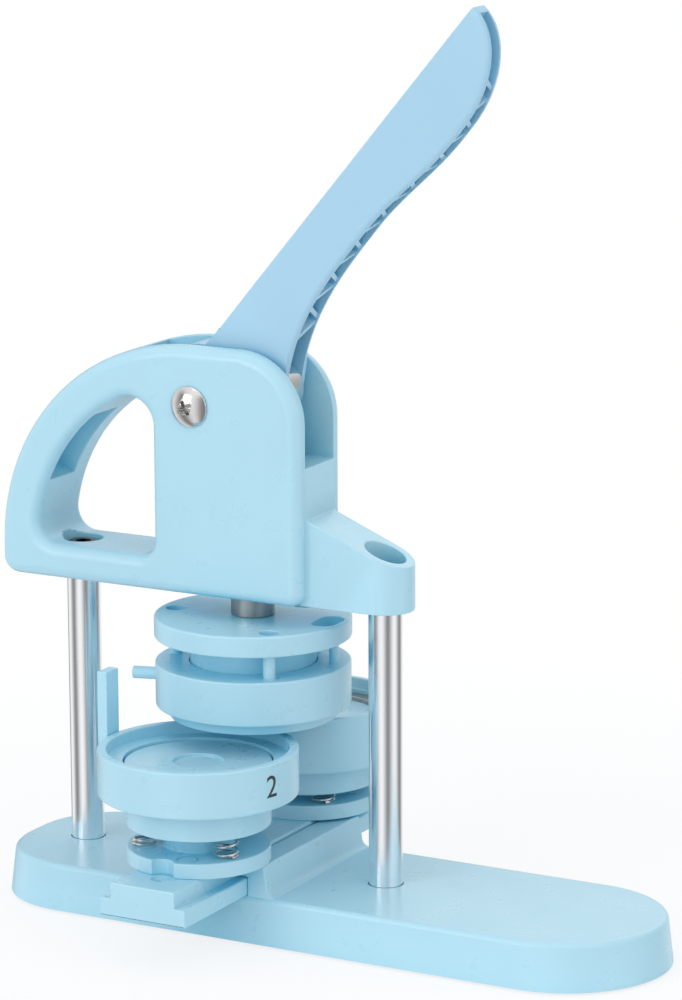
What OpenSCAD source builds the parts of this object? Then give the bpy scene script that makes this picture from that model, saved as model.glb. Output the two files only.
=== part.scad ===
/* Button badge maker: a hand press with a lever, two chromed columns and a
   slide bar that carries two spring-loaded lower dies. Millimetres. Modules
   are drawn from the plunger axis, X = 0 and Y = 0, with the rubber feet on
   Z = 0, and placed() moves the origin to the middle of the whole press. */

/* [Base] */
// Left end of the base from the plunger axis
base_left = 106.3; // [90:0.1:130]
// Right end of the base from the plunger axis
base_right = 180; // [150:0.5:220]
// Half width of the base at its foot
base_half = 42.3; // [38:0.1:60]
// Corner radius of the left end
base_corner = 37.3; // [10:0.1:38]
// Height of the deck over the rim
base_height = 18.6; // [14:0.1:30]
// How far the sides lean in
base_draft = 2.2; // [0:0.1:4]
// Rounding of the upper rim
base_round = 2; // [0.5:0.1:4]
// Wall of the base tray
base_wall = 2.8; // [2:0.1:5]
// How far the rubber feet stand out
foot_out = 1; // [0.5:0.1:3]
// Radius of a rubber foot
foot_r = 8; // [5:0.5:12]

/* [Columns] */
// Radius of the columns
column_r = 6.7; // [5:0.1:10]
// Left column from the plunger axis
column_left_x = 78.9; // [72:0.1:90]
// Right column from the plunger axis
column_right_x = 59.5; // [50:0.1:70]
// Radius of the column bolts
bolt_r = 4; // [3:0.5:5]
// Radius of a bolt head
bolt_head_r = 6.6; // [6:0.1:7.4]
// Radius of the recess for a bolt head
bolt_recess_r = 8.05; // [7.8:0.05:10]
// Depth of the column seat in the base
seat_depth = 8.6; // [6:0.1:10]
// Radius of the column bosses in the base
boss_r = 12; // [10:0.5:16]

/* [Head] */
// Underside of the head
head_z = 131; // [120:0.5:150]
// Top of the lever housing
head_top = 230.8; // [220:0.1:250]
// Half width of the head
head_half = 18; // [16:0.5:24]
// Rounding of the long edges
head_round = 5; // [2:0.5:7]
// Right face of the lever housing
head_right = 30.7; // [26:0.1:36]
// Left face of the housing, beside the hand hole
housing_left = 36; // [33:0.5:40]
// Radius of the housing's upper corner
head_corner = 28; // [15:0.5:30]
// Outer radius of the hand grip
grip_r = 87; // [80:0.5:95]
// Centre of the grip's arc, left of the plunger axis
grip_x = 20.2; // [15:0.1:25]
// Thickness of the hand grip
grip_t = 16.3; // [12:0.1:20]
// Thickness of the bar under the hand hole
floor_t = 14; // [12:0.5:18]
// Radius of the arm's round end
arm_r = 11.63; // [10:0.01:14]
// Height of the arm at its end
arm_end = 18.1; // [14:0.1:24]
// Height of the arm where it meets the housing
arm_root = 34.6; // [26:0.1:44]
// Half width of the lever slot
slot_half = 11.5; // [10:0.1:13]
// Lower edge of the lever slot
slot_z = 186; // [182:0.5:190]

/* [Handle] */
// Pivot of the handle, left of the plunger axis
pivot_x = 17.5; // [14:0.1:20]
// Height of the pivot
pivot_z = 207.3; // [204:0.1:211]
// Radius of the pivot screw
pivot_r = 4; // [3:0.5:5]
// Length of the handle from its heel
handle_length = 173.2; // [140:0.1:200]
// Rise of the handle over the level
handle_angle = 49.9; // [45:0.1:52]
// Width of the blade at its waist
blade_waist = 21.4; // [18:0.1:26]
// Width of the blade at its belly
blade_belly = 26.1; // [22:0.1:32]
// Extra width where the blade leaves the head
blade_flare = 11.5; // [6:0.1:13]
// Thickness of the handle at the heel
handle_t = 16; // [14:0.1:18]
// Thickness of the handle at the tip
handle_tip_t = 11.4; // [9:0.1:14]
// Wall of the handle's cheeks
cheek_wall = 2.6; // [2:0.1:2.8]
// Radius of the hub's crown
hub_r = 23.3; // [20:0.1:23.4]
// Radius of the cam roller
roller_r = 10; // [8:0.1:10.4]
// Centre of the roller from the plunger axis
roller_x = 11.2; // [9:0.1:12]
// Height of the roller's centre
roller_z = 214.3; // [212:0.1:216]
// Width of the roller
roller_w = 9.8; // [8:0.1:10.4]

/* [Upper die] */
// Radius of the plunger
plunger_r = 8.71; // [7:0.01:10]
// Radius of the upper plate
plate_r = 39.3; // [36:0.1:39.35]
// Underside of the upper plate
plate_z = 114; // [112:0.1:116]
// Thickness of the upper plate
plate_t = 8.45; // [6:0.05:10]
// Radius of the collar
collar_r = 38.95; // [36:0.05:39.1]
// Underside of the collar
collar_z = 86.15; // [84:0.05:88]
// Height of the collar
collar_h = 17.8; // [15:0.1:20]
// Outer radius of the collar's lip
lip_r = 33.25; // [31:0.05:34]
// How far the lip stands below the collar
lip_h = 4.55; // [3:0.05:5]
// Bore of the lip
lip_bore_r = 29.4; // [29.3:0.05:30]
// Radius of the piston's drum
drum_r = 25.15; // [22:0.05:26]
// Radius on which the plate's holes lie
post_ring = 32.6; // [31:0.1:34]
// Radius of the collar's posts
post_r = 2.5; // [2:0.1:3.5]
// Radius of the plate's holes
post_hole_r = 4; // [3.6:0.1:4.5]
// Turn of the key post from the right
key_turn = 4; // [0:0.5:8]
// Radius of the key slot's ends
key_hole_r = 5; // [4:0.1:5.5]
// Half the distance between the key slot's ends
key_half = 3.5; // [1:0.1:5]
// Turn of the first post from the right
post_turn = 196.6; // [190:0.1:200]
// Turn of the collar's side pin
pin_turn = 196; // [193:0.5:198]
// How far the side pin stands out
pin_out = 10.7; // [8:0.1:11.5]

/* [Lower dies] */
// Centre of the front die from the plunger axis
die_front = 43.8; // [43:0.1:45]
// Centre of the rear die from the plunger axis
die_rear = 45; // [44:0.1:46]
// Outer radius of the die rings
ring_r = 39.4; // [38:0.1:39.5]
// Opening of the die rings
ring_bore_r = 35.75; // [34.5:0.05:36.5]
// Bore around the platen
ring_well_r = 29.6; // [29.3:0.05:30]
// Radius of the rings' lower barrel
barrel_r = 28.6; // [27:0.1:29.2]
// Height of the rings' lower barrel
barrel_h = 12.1; // [11.5:0.1:13]
// Height of the front ring's wall
ring_front_h = 18.5; // [17:0.1:19.5]
// Height of the rear ring's wall
ring_rear_h = 21.9; // [20:0.1:22]
// Underside of the front ring's barrel
front_z = 48.1; // [47.5:0.1:49]
// Underside of the rear ring's barrel
rear_z = 43.9; // [43.8:0.1:45]
// Radius of the platens
platen_r = 28.95; // [27:0.05:29.1]
// Radius of the centre posts
stem_r = 14.2; // [12:0.1:15]
// Radius of the die flanges
flange_r = 28.3; // [26:0.1:29]
// Thickness of the die flanges
flange_t = 6.15; // [5:0.05:7]
// Radius of the front platen's dimple
dimple_r = 9.85; // [8:0.05:12]
// Radius on which the die springs stand
spring_ring = 21.5; // [20:0.1:22]

/* [Slide] */
// Half width of the slide's flanges
slide_half = 19; // [17:0.1:21]
// Thickness of the slide's flanges
slide_t = 7; // [5:0.1:9]
// Half width of the slide's platform
platform_half = 14.3; // [12:0.1:15.2]
// Height of the platform over the deck
platform_h = 13.6; // [12:0.1:15]
// Length of the slide bar
slide_length = 175.8; // [170:0.1:180]
// Half length of the guides
guide_half = 39.3; // [30:0.1:39.6]
// Height of the guides
guide_h = 12.7; // [10:0.1:14]
// Outer top edge of a guide
guide_top = 26.2; // [24:0.1:28]
// Outer foot of a guide
guide_foot = 28.4; // [26:0.1:30]

/* [Hidden] */
$fn = 96;
clear = 0.05;
deck = foot_out + base_height;
guide_in = slide_half + 0.3;
column_xs = [-column_left_x, column_right_x];
seat_z = deck - seat_depth;
socket_z = head_z + 3.5;
bolt_z = head_z + 7.5;
washer_t = 1.3;
bolt_head_h = 4;
feet_at = [[-82, 25], [-82, -25], [150, 24], [150, -24]];
floor_z = head_z + floor_t;
grip_z = head_top - grip_r;
grip_in = grip_r - grip_t;
grip_left = grip_x + grip_r;
mid_x = (base_right - grip_left) / 2;
mid_y = (die_rear - die_front) / 2;
corner_z = head_top - head_corner;
corner_x = head_right - head_corner;
plate_top = plate_z + plate_t;
collar_top = collar_z + collar_h;
foot_top = collar_top - 5;
piston_foot_r = lip_bore_r - 0.5;
piston_z = foot_top - 4.3;
spigot_r = 5;
lip_z = collar_z - lip_h;
bush_r = 11.5;
bush_top = head_z + 25;
cap_z = bush_top + 25;
plunger_top = cap_z + 6.1;
neck_r = 7;
chamber_r = 13.5;
platform_z = deck + platform_h;
flange_z = platform_z + flange_t;
well_up = 18.9;
front_ring_z = front_z + barrel_h;
rear_ring_z = rear_z + barrel_h;
front_top = front_ring_z + ring_front_h;
rear_top = rear_ring_z + ring_rear_h;
front_seat = front_z + well_up;
rear_seat = rear_z + well_up;
platen_front_t = 6;
platen_rear_t = 7.2;
insert_h = 2.3;
insert_t = 3.5;
spring_r = 4.3;
wire_r = 0.7;
spring_pocket = 14;
finger_x = ring_r + 0.15;
finger_t = 4.3;
finger_w = 9;
finger_off = 1.3;
finger_top = 104.1;
sleeve_r = 6;
roller_pin_r = 3;
hinge_out = slot_half - 0.3;

module placed() {
    translate([-mid_x, -mid_y, 0]) children();
}

module rod(r, z0, z1) {
    translate([0, 0, z0]) cylinder(r = r, h = z1 - z0);
}

module tube(r, bore, z0, z1) {
    difference() {
        rod(r, z0, z1);
        rod(bore, z0 - 1, z1 + 1);
    }
}

// a flat shape drawn in X and Z, from y0 to y1
module slab(y0, y1) {
    translate([0, y1, 0]) rotate([90, 0, 0]) linear_extrude(y1 - y0) children();
}

module rounded_rect(w, h, r) {
    square([w - 2 * r, h], center = true);
    square([w, h - 2 * r], center = true);
    for (x = [-1, 1], y = [-1, 1])
        translate([x * (w / 2 - r), y * (h / 2 - r)]) circle(r, $fn = 48);
}

// half of a drafted wall with a rounded rim: r is its reach at the foot
module rim_profile(r, h, draft, round) {
    lean = draft * (h - round) / h;
    polygon([[0, 0], [r, 0], [r - lean, h - round], [r - draft - round, h], [0, h]]);
    translate([r - draft - round, h - round]) intersection() {
        circle(round, $fn = 48);
        square(round);
    }
}

module tray_body(inset, h, round) {
    half = base_half - inset;
    corner = base_corner - inset;
    left = base_left - base_corner;
    right = base_right - base_half;
    translate([-left, 0, 0]) rotate([90, 0, 90]) linear_extrude(left + right) {
        rim_profile(half, h, base_draft, round);
        mirror([1, 0]) rim_profile(half, h, base_draft, round);
    }
    translate([right, 0, 0]) rotate_extrude() rim_profile(half, h, base_draft, round);
    for (s = [-1, 1]) translate([-left, s * (half - corner), 0])
        rotate_extrude() rim_profile(corner, h, base_draft, round);
    translate([-left, half - corner, 0]) rotate([90, 0, 0]) mirror([1, 0, 0])
        linear_extrude(2 * (half - corner)) rim_profile(corner, h, base_draft, round);
}

module guide() {
    lip_in = platform_half + 1.2;
    lip_z0 = deck + slide_t + 0.2;
    slab_y = guide_half;
    slab(-slab_y, slab_y) polygon([[guide_in, deck - 1], [guide_foot, deck - 1],
        [guide_foot, deck + 1], [guide_top, deck + guide_h], [lip_in, deck + guide_h],
        [lip_in, lip_z0], [guide_in, lip_z0]]);
}

module base() {
    color("skyblue") placed() difference() {
        union() {
            difference() {
                translate([0, 0, foot_out]) tray_body(0, base_height, base_round);
                translate([0, 0, foot_out - 1])
                    tray_body(base_wall, base_height - base_wall + 1, 0.5);
            }
            for (x = column_xs) translate([x, 0, 0]) rod(boss_r, foot_out, deck - 1);
            for (x = [-45, -20, 20, 45, 90, 120])
                translate([x - 1, -base_half + 2.5, foot_out + 5])
                    cube([2, 2 * base_half - 5, base_height - 6]);
            for (y = [-19, 0, 19]) translate([-96, y - 1, foot_out + 5])
                cube([258, 2, base_height - 6]);
            for (p = feet_at) translate([p[0], p[1], 0]) rod(foot_r + 2, foot_out, deck - 1);
            guide();
            mirror([1, 0, 0]) guide();
        }
        for (x = column_xs) translate([x, 0, 0]) {
            rod(column_r + clear, seat_z, deck + 5);
            rod(bolt_r + 0.2, 0, deck);
            rod(bolt_recess_r, 0, seat_z - 3.5);
        }
        for (p = feet_at) translate([p[0], p[1], 0]) {
            rod(foot_r, 0, foot_out + 1.5);
            rod(2, 0, foot_out + 6);
        }
    }
}

module base_feet() {
    color("dimgray") placed() for (p = feet_at) translate([p[0], p[1], 0]) {
        difference() {
            union() {
                rod(foot_r - 1, 0, 1);
                rod(foot_r, 0.8, foot_out + 1.5);
            }
            rod(2.6, -1, 1);
        }
        rod(2, foot_out + 1, foot_out + 6);
    }
}

module column() {
    color("silver") difference() {
        union() {
            rod(column_r - 0.6, seat_z, seat_z + 0.7);
            rod(column_r, seat_z + 0.6, socket_z - 0.6);
            rod(column_r - 0.6, socket_z - 0.7, socket_z);
        }
        rod(bolt_r, seat_z - 1, seat_z + 14);
        rod(bolt_r, socket_z - 14, socket_z + 1);
    }
}

module column_left() {
    placed() translate([-column_left_x, 0, 0]) column();
}

module column_right() {
    placed() translate([column_right_x, 0, 0]) column();
}

module column_bolt() {
    difference() {
        union() {
            rod(bolt_head_r, 0, bolt_head_h - 0.8);
            translate([0, 0, bolt_head_h - 0.8])
                cylinder(r1 = bolt_head_r, r2 = bolt_head_r - 1.4, h = 0.8);
            rod(bolt_r, -16, 0.1);
        }
        translate([0, 0, 1.4]) cylinder(r = 3.4, h = 4, $fn = 6);
    }
}

module base_bolts() {
    color("slategray") placed() for (x = column_xs)
        translate([x, 0, seat_z - 3.5 - washer_t]) rotate([180, 0, 0]) column_bolt();
}

module head_bolts() {
    color("slategray") placed() for (x = column_xs)
        translate([x, 0, bolt_z + washer_t]) column_bolt();
}

module base_washers() {
    color("silver") placed() for (x = column_xs) translate([x, 0, 0])
        tube(bolt_recess_r - 0.4, bolt_r + 0.1, seat_z - 3.5 - washer_t, seat_z - 3.5);
}

module head_washers() {
    color("silver") placed() for (x = column_xs) translate([x, 0, 0])
        tube(bolt_recess_r - 0.4, bolt_r + 0.1, bolt_z, bolt_z + washer_t);
}

// section of a bar of the head, from radius a to radius b, rounded on its sides
module bar_section(a, b) {
    translate([(a + b) / 2, 0]) rounded_rect(b - a, 2 * head_half, head_round);
}

// a sweep of that section about the Y direction, from angle a0 over da degrees
module sweep_y(x, z, a0, da) {
    translate([x, 0, z]) rotate([90, 0, 0]) rotate([0, 0, a0])
        rotate_extrude(angle = da) children();
}

// full section out to radius r, rounded at the outer edge only
module pie_section(r) {
    square_r = r - head_round;
    translate([0, -head_half]) square([square_r, 2 * head_half]);
    translate([0, -head_half + head_round]) square([r, 2 * (head_half - head_round)]);
    for (s = [-1, 1]) translate([square_r, s * (head_half - head_round)])
        circle(head_round, $fn = 48);
}

module head_block() {
    low = 6;
    // housing, upright
    translate([(head_right - housing_left) / 2, 0, head_z + low])
        linear_extrude(corner_z - head_z - low)
            rounded_rect(head_right + housing_left, 2 * head_half, head_round);
    translate([-housing_left, 0, corner_z - 1]) linear_extrude(20)
        translate([head_round + 4, 0]) rounded_rect(2 * head_round + 8, 2 * head_half, head_round);
    // crown and its corner
    translate([-grip_x, 0, 0]) rotate([90, 0, 90]) linear_extrude(grip_x + corner_x)
        translate([0, head_top - 40]) rounded_rect(2 * head_half, 80, head_round);
    sweep_y(corner_x, corner_z, 0, 90) pie_section(head_corner);
    sweep_y(-grip_x, grip_z, 90, 10.3) pie_section(grip_r);
    // grip, its foot and the bar under the hand hole
    sweep_y(-grip_x, grip_z, 90, 90) bar_section(grip_in, grip_r);
    translate([-grip_left + grip_t / 2, 0, head_z + 7]) linear_extrude(grip_z - head_z - 7)
        rounded_rect(grip_t, 2 * head_half, head_round);
    sweep_y(-grip_left + 7, head_z + 7, 180, 90) pie_section(7);
    sweep_y(head_right - low, head_z + low, 270, 90) pie_section(low);
    translate([-grip_left + 7, 0, 0]) rotate([90, 0, 90])
        linear_extrude(grip_left - 7 + head_right - low)
            translate([0, head_z + floor_t / 2]) rounded_rect(2 * head_half, floor_t, head_round);
    // fillets in the corners of the hand hole
    slab(-13.5, 13.5) {
        translate([-grip_left + grip_t - 1, floor_z - 1]) difference() {
            square(10);
            translate([10, 10]) circle(9);
        }
        translate([-housing_left + 1, floor_z - 1]) mirror([1, 0]) difference() {
            square(7);
            translate([7, 7]) circle(6);
        }
        translate([-housing_left - 11, grip_z + 51.8]) difference() {
            square([12, 14]);
            circle(11);
        }
    }
}

module arm() {
    intersection() {
        translate([0, 0, head_z]) {
            translate([column_right_x, 0, 0]) cylinder(r = arm_r, h = 60);
            translate([head_right - 8, -arm_r, 0])
                cube([column_right_x - head_right + 8, 2 * arm_r, 60]);
        }
        slab(-20, 20) polygon([[head_right - 8, head_z], [column_right_x + arm_r, head_z],
            [column_right_x + arm_r, head_z + arm_end], [head_right, head_z + arm_root],
            [head_right - 8, head_z + arm_root]]);
    }
}

module head() {
    color("skyblue") placed() difference() {
        union() {
            head_block();
            arm();
            translate([-column_left_x, 0, 0]) rod(9, head_z - 1.2, head_z + 5);
        }
        // lever slot, open at the top and at the right face
        slab(-slot_half, slot_half) polygon([[-31.2, slot_z], [60, slot_z], [60, head_top + 20],
            [-44, head_top + 20], [-44, 222], [-31.2, 213]]);
        translate([-15.5, -slot_half, 176]) cube([33.5, 2 * slot_half, 11]);
        rod(chamber_r, bush_top, slot_z + 1);
        rod(bush_r, head_z - 1, bush_top + 1);
        // pivot screw and nut
        translate([-pivot_x, 0, pivot_z]) rotate([90, 0, 0]) {
            cylinder(r = pivot_r + 0.05, h = 60, center = true);
            translate([0, 0, -head_half - 1]) cylinder(r = 7.6, h = 4.5, $fn = 6);
        }
        for (x = column_xs) translate([x, 0, 0]) {
            rod(column_r + clear, head_z - 5, socket_z);
            rod(bolt_r + 0.2, head_z, head_z + 20);
            rod(bolt_recess_r, bolt_z, head_z + 60 - (x < 0 ? 35 : 0));
        }
        // core pocket inside the grip
        intersection() {
            sweep_y(-grip_x, grip_z, 129, 30) translate([grip_in - 4, -5.5]) square([13, 18]);
            translate([-120, -12.5, 100]) cube([110, 18, 110]);
        }
    }
}

module plunger_bush() {
    color("goldenrod") placed() tube(bush_r, plunger_r + clear, head_z, bush_top);
}

module pivot_screw() {
    color("silver") placed() translate([-pivot_x, -head_half, pivot_z]) rotate([90, 0, 0]) {
        difference() {
            intersection() {
                cylinder(r = 8.1, h = 4);
                translate([0, 0, -8.2]) sphere(12.2);
            }
            for (a = [30, 120]) rotate(a) translate([-3.2, -0.7, 1.6]) cube([6.4, 1.4, 4]);
        }
        translate([0, 0, -2 * head_half + 1]) cylinder(r = pivot_r, h = 2 * head_half);
    }
}

module pivot_nut() {
    color("silver") placed() translate([-pivot_x, head_half, pivot_z]) rotate([90, 0, 0])
        difference() {
            translate([0, 0, -0.6]) cylinder(r = 7.4, h = 4.1, $fn = 6);
            translate([0, 0, -2]) cylinder(r = pivot_r, h = 9);
        }
}

module pivot_sleeve() {
    color("silver") placed() translate([-pivot_x, 0, pivot_z]) rotate([90, 0, 0]) difference() {
        cylinder(r = sleeve_r, h = 2 * slot_half, center = true);
        cylinder(r = pivot_r + 0.02, h = 30, center = true);
    }
}

// right edge of the blade at a distance s from the heel
waist_s = 78;
belly_s = 128;
end_s = 135;
function ease(t) = t * t * (3 - 2 * t);
function flare(s) = s < waist_s ? blade_flare * pow((waist_s - s) / 66.6, 3.2) : 0;
function belly(s) = s < waist_s ? 0 : (blade_belly - blade_waist)
    * ease(min(1, (s - waist_s) / (belly_s - waist_s)));
function nose(s) = s < end_s ? 1
    : sqrt(max(0, 1 - pow((s - end_s) / (handle_length - end_s), 2)));
function blade_w(s) = (blade_waist + flare(s) + belly(s)) * nose(s);
blade_steps = concat([for (s = [14 : 8 : 134]) s], [for (a = [0 : 9 : 90])
    end_s + (handle_length - end_s) * sin(a)]);
heel = [-12.2, 234.3];

// frame of the blade: X along it, Y square to it and up to the left
module blade_frame() {
    translate(heel) rotate(handle_angle) children();
}

module blade_outline(inset, open) {
    blade_frame() difference() {
        polygon(concat([[0, -inset], [0, -30 + inset]],
            [for (s = blade_steps) [s, -blade_w(s) - open]],
            [[handle_length - inset, -inset]]));
        if (inset > 0) translate([handle_length - inset, -60]) square([20, 80]);
    }
}

module hub_outline() {
    translate([-pivot_x, pivot_z]) {
        circle(13);
        intersection() {
            circle(hub_r);
            polygon([[-13.4, 0], [-13.4, 60], [60, 60], [60, -4], [0, -13]]);
        }
    }
    translate([roller_x, roller_z]) circle(7.8);
    polygon([[-pivot_x, pivot_z - 13], [roller_x + 3, roller_z - 7.2], [19, roller_z],
        [20.3, 221.9], [20.9, 228], [-5, 236], heel, [-pivot_x, pivot_z + 10]]);
    // fillet between hub crown and blade
    polygon([heel, [-16, 230.4], [-8, 228], [-9.5, 237.5]]);
}

module handle_taper(less) {
    a = handle_t / 2 - less;
    b = handle_tip_t / 2 - less;
    grow = (a - b) / handle_length;
    translate([heel[0], 0, heel[1]]) rotate([0, -handle_angle, 0])
        translate([0, 0, -90]) linear_extrude(180)
            polygon([[0, a], [0, -a], [handle_length + 5, -b + 5 * grow],
                [handle_length + 5, b - 5 * grow]]);
    translate([-60, -a, pivot_z - 40]) cube([100, 2 * a, 68]);
}

module zigzag(s0, s1, step) {
    reach = handle_t / 2;
    for (s = [s0 : step : s1]) {
        translate([s, 0, 0]) rotate(atan2(2 * reach, step / 2))
            translate([-1, -0.7]) square([sqrt(4 * reach * reach + step * step / 4), 1.4]);
    }
}

module handle() {
    color("lightskyblue") placed() difference() {
        union() {
            intersection() {
                slab(-20, 20) union() {
                    blade_outline(0, 0);
                    hub_outline();
                }
                handle_taper(0);
            }
            translate([-pivot_x, 0, pivot_z]) rotate([90, 0, 0])
                cylinder(r = 10, h = 2 * hinge_out, center = true);
        }
        // channel, open along the lower edge, with its zigzag of ribs
        difference() {
            intersection() {
                slab(-20, 20) difference() {
                    blade_outline(3, 8);
                    translate([-pivot_x, pivot_z]) circle(hub_r);
                }
                handle_taper(cheek_wall);
            }
            intersection() {
                slab(-20, 20) blade_outline(0, -1.6);
                translate([heel[0], 0, heel[1]]) rotate([0, -handle_angle, 0])
                    translate([0, -handle_t / 2, -60]) linear_extrude(70) {
                        zigzag(22, 158, 17);
                        translate([0, handle_t]) mirror([0, 1]) zigzag(30.5, 150, 17);
                    }
            }
        }
        translate([roller_x, 0, roller_z]) rotate([90, 0, 0])
            cylinder(r = roller_r + 0.8, h = roller_w + 0.8, center = true);
        translate([roller_x, -roller_w / 2 - 0.4, roller_z - 20])
            cube([30, roller_w + 0.8, 20]);
        translate([-pivot_x, 0, pivot_z]) rotate([90, 0, 0])
            cylinder(r = sleeve_r + clear, h = 40, center = true);
        translate([roller_x, 0, roller_z]) rotate([90, 0, 0])
            cylinder(r = roller_pin_r, h = 40, center = true);
    }
}

module roller_pin() {
    color("silver") placed() translate([roller_x, 0, roller_z]) rotate([90, 0, 0])
        cylinder(r = roller_pin_r, h = handle_t - 0.4, center = true);
}

module roller() {
    color("silver") placed() translate([roller_x, 0, roller_z]) rotate([90, 0, 0]) difference() {
        union() {
            cylinder(r = roller_r, h = roller_w - 1.2, center = true);
            cylinder(r = roller_r - 0.6, h = roller_w, center = true);
        }
        cylinder(r = roller_pin_r + clear, h = 20, center = true);
    }
}

module plunger() {
    color("gray") placed() difference() {
        union() {
            rod(spigot_r, plate_z - 6, plate_top + 1);
            rod(plunger_r - 0.5, plate_top, plate_top + 0.6);
            rod(plunger_r, plate_top + 0.5, cap_z);
            rod(neck_r, cap_z - 1, plunger_top);
        }
        tube(neck_r + 2, neck_r - 0.6, cap_z + 3, cap_z + 4.2);
        rod(3, plate_z - 10, plate_z + 14);
    }
}

module plunger_cap() {
    color("dimgray") placed() tube(12.4, neck_r, cap_z, cap_z + 3);
}

module retaining_ring() {
    color("slategray") placed() difference() {
        tube(9.4, neck_r - 0.6, cap_z + 3, cap_z + 4.2);
        translate([0, -1.6, cap_z]) cube([12, 3.2, 8]);
    }
}

module upper_plate() {
    color("skyblue") placed() difference() {
        union() {
            rod(plate_r - 0.8, plate_z, plate_z + 1);
            rod(plate_r, plate_z + 0.8, plate_top - 0.8);
            rod(plate_r - 0.8, plate_top - 1, plate_top);
        }
        rod(spigot_r, plate_z - 1, plate_top + 1);
        for (a = [0, 120, 240]) rotate(post_turn + a) translate([post_ring, 0, 0])
            rod(post_hole_r, plate_z - 1, plate_top + 1);
        rotate(key_turn) translate([post_ring, 0, plate_z - 1]) linear_extrude(plate_t + 2)
            key_shape(key_hole_r);
    }
}

// shape of the key post and its slot
module key_shape(r) {
    for (s = [-1, 1]) translate([0, s * key_half]) circle(r);
    square([2 * r, 2 * key_half], center = true);
}

module upper_piston() {
    color("skyblue") placed() difference() {
        union() {
            rod(drum_r, foot_top - 0.1, plate_z);
            rod(piston_foot_r, piston_z, foot_top);
        }
        rod(spigot_r, plate_z - 6, plate_z + 1);
        rod(3.2, piston_z - 1, plate_z);
        rod(6.2, piston_z - 1, piston_z + 7);
    }
}

module upper_screw() {
    color("slategray") placed() difference() {
        union() {
            rod(5.2, piston_z + 2, piston_z + 7);
            rod(3, piston_z + 6, plate_z + 12);
        }
        translate([0, 0, piston_z + 1]) cylinder(r = 2.9, h = 3.4, $fn = 6);
    }
}

module collar() {
    color("skyblue") placed() difference() {
        union() {
            rod(collar_r - 0.9, collar_z, collar_z + 1);
            rod(collar_r, collar_z + 0.9, collar_top - 0.7);
            rod(collar_r - 0.7, collar_top - 1, collar_top);
            rod(collar_r - 2.6, collar_z - 0.9, collar_z + 1);
            translate([0, 0, lip_z])
                cylinder(r1 = lip_r, r2 = lip_r + 1.2, h = lip_h + 0.5);
            for (a = [0, 120, 240]) rotate(post_turn + a) translate([post_ring, 0, 0])
                rod(post_r, collar_top - 1, plate_z - 0.5);
            rotate(key_turn) translate([post_ring, 0, collar_top - 1])
                linear_extrude(plate_z - collar_top + 0.5) key_shape(key_hole_r - 1.2);
        }
        rod(drum_r + 0.35, collar_z, collar_top + 1);
        rod(drum_r + 0.35, collar_z, plate_z);
        rod(lip_bore_r, lip_z - 1, foot_top);
        rotate(pin_turn) translate([0, 0, collar_z + 9.65]) rotate([0, 90, 0])
            translate([0, 0, collar_r - 6]) cylinder(r = 2.5, h = 12);
    }
}

module collar_pin() {
    color("skyblue") placed() rotate(pin_turn) translate([0, 0, collar_z + 9.65])
        rotate([0, 90, 0]) translate([0, 0, collar_r - 6]) {
            cylinder(r = 2.5, h = 6 + pin_out - 0.8);
            cylinder(r = 1.8, h = 6 + pin_out);
        }
}

module slide_bar() {
    color("skyblue") placed() difference() {
        translate([0, mid_y, 0]) slab(-slide_length / 2, slide_length / 2) {
            polygon([[-slide_half, deck], [slide_half, deck],
                [slide_half, deck + slide_t - 0.6], [slide_half - 0.6, deck + slide_t],
                [-slide_half + 0.6, deck + slide_t], [-slide_half, deck + slide_t - 0.6]]);
            translate([-platform_half, deck + 1]) square([2 * platform_half, platform_h - 1.6]);
            translate([-platform_half + 0.6, deck + 1])
                square([2 * platform_half - 1.2, platform_h - 1]);
        }
        for (y = [-die_front, die_rear], x = [-8, 8]) translate([x, y, 0]) {
            rod(2.7, deck - 1, platform_z + 1);
            rod(5, deck - 1, deck + 5);
        }
        translate([0, mid_y, 0]) for (s = [-1, 1]) translate([0, s * 74.7, 0])
            rod(1.5, deck - 1, platform_z + 1);
    }
}

module die_screws() {
    color("slategray") placed() for (y = [-die_front, die_rear], x = [-8, 8]) translate([x, y, 0])
        difference() {
            union() {
                rod(4.6, deck + 1, deck + 5);
                rod(2.5, deck + 4, platform_z + 12);
            }
            translate([0, 0, deck]) cylinder(r = 2.4, h = 3, $fn = 6);
        }
}

module die_base(seat) {
    difference() {
        union() {
            rod(flange_r, platform_z, flange_z - 0.5);
            rod(flange_r - 0.5, flange_z - 1, flange_z);
            rod(stem_r, flange_z - 1, seat);
        }
        translate([0, -flange_r - 1.2, platform_z - 1]) {
            cylinder(r = 5.2, h = 10);
            translate([-5.2, -8, 0]) cube([10.4, 8, 10]);
        }
        for (x = [-8, 8]) translate([x, 0, 0]) rod(2.5, platform_z - 1, platform_z + 13);
        rod(3.2, seat - 12, seat + 1);
    }
}

module front_die_base() {
    color("skyblue") placed() translate([0, -die_front, 0]) die_base(front_seat);
}

module rear_die_base() {
    color("skyblue") placed() translate([0, die_rear, 0]) die_base(rear_seat);
}

module front_platen() {
    color("skyblue") placed() translate([0, -die_front, 0]) difference() {
        union() {
            rod(platen_r, front_seat, front_seat + platen_front_t - 0.5);
            rod(platen_r - 0.5, front_seat + 1, front_seat + platen_front_t);
            rod(3.2, front_seat - 11, front_seat + 1);
        }
        rod(dimple_r, front_seat + platen_front_t - 1, front_seat + platen_front_t + 1);
    }
}

module rear_platen() {
    color("skyblue") placed() translate([0, die_rear, 0]) difference() {
        union() {
            rod(platen_r, rear_seat, rear_seat + platen_rear_t);
            rod(3.2, rear_seat - 11, rear_seat + 1);
        }
        tube(platen_r + 1, platen_r - insert_t, rear_seat + platen_rear_t - 3, rear_seat + 20);
    }
}

module rear_insert() {
    color("silver") placed() translate([0, die_rear, 0])
        tube(platen_r, platen_r - insert_t, rear_seat + platen_rear_t - 3,
            rear_seat + platen_rear_t + insert_h);
}

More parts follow.
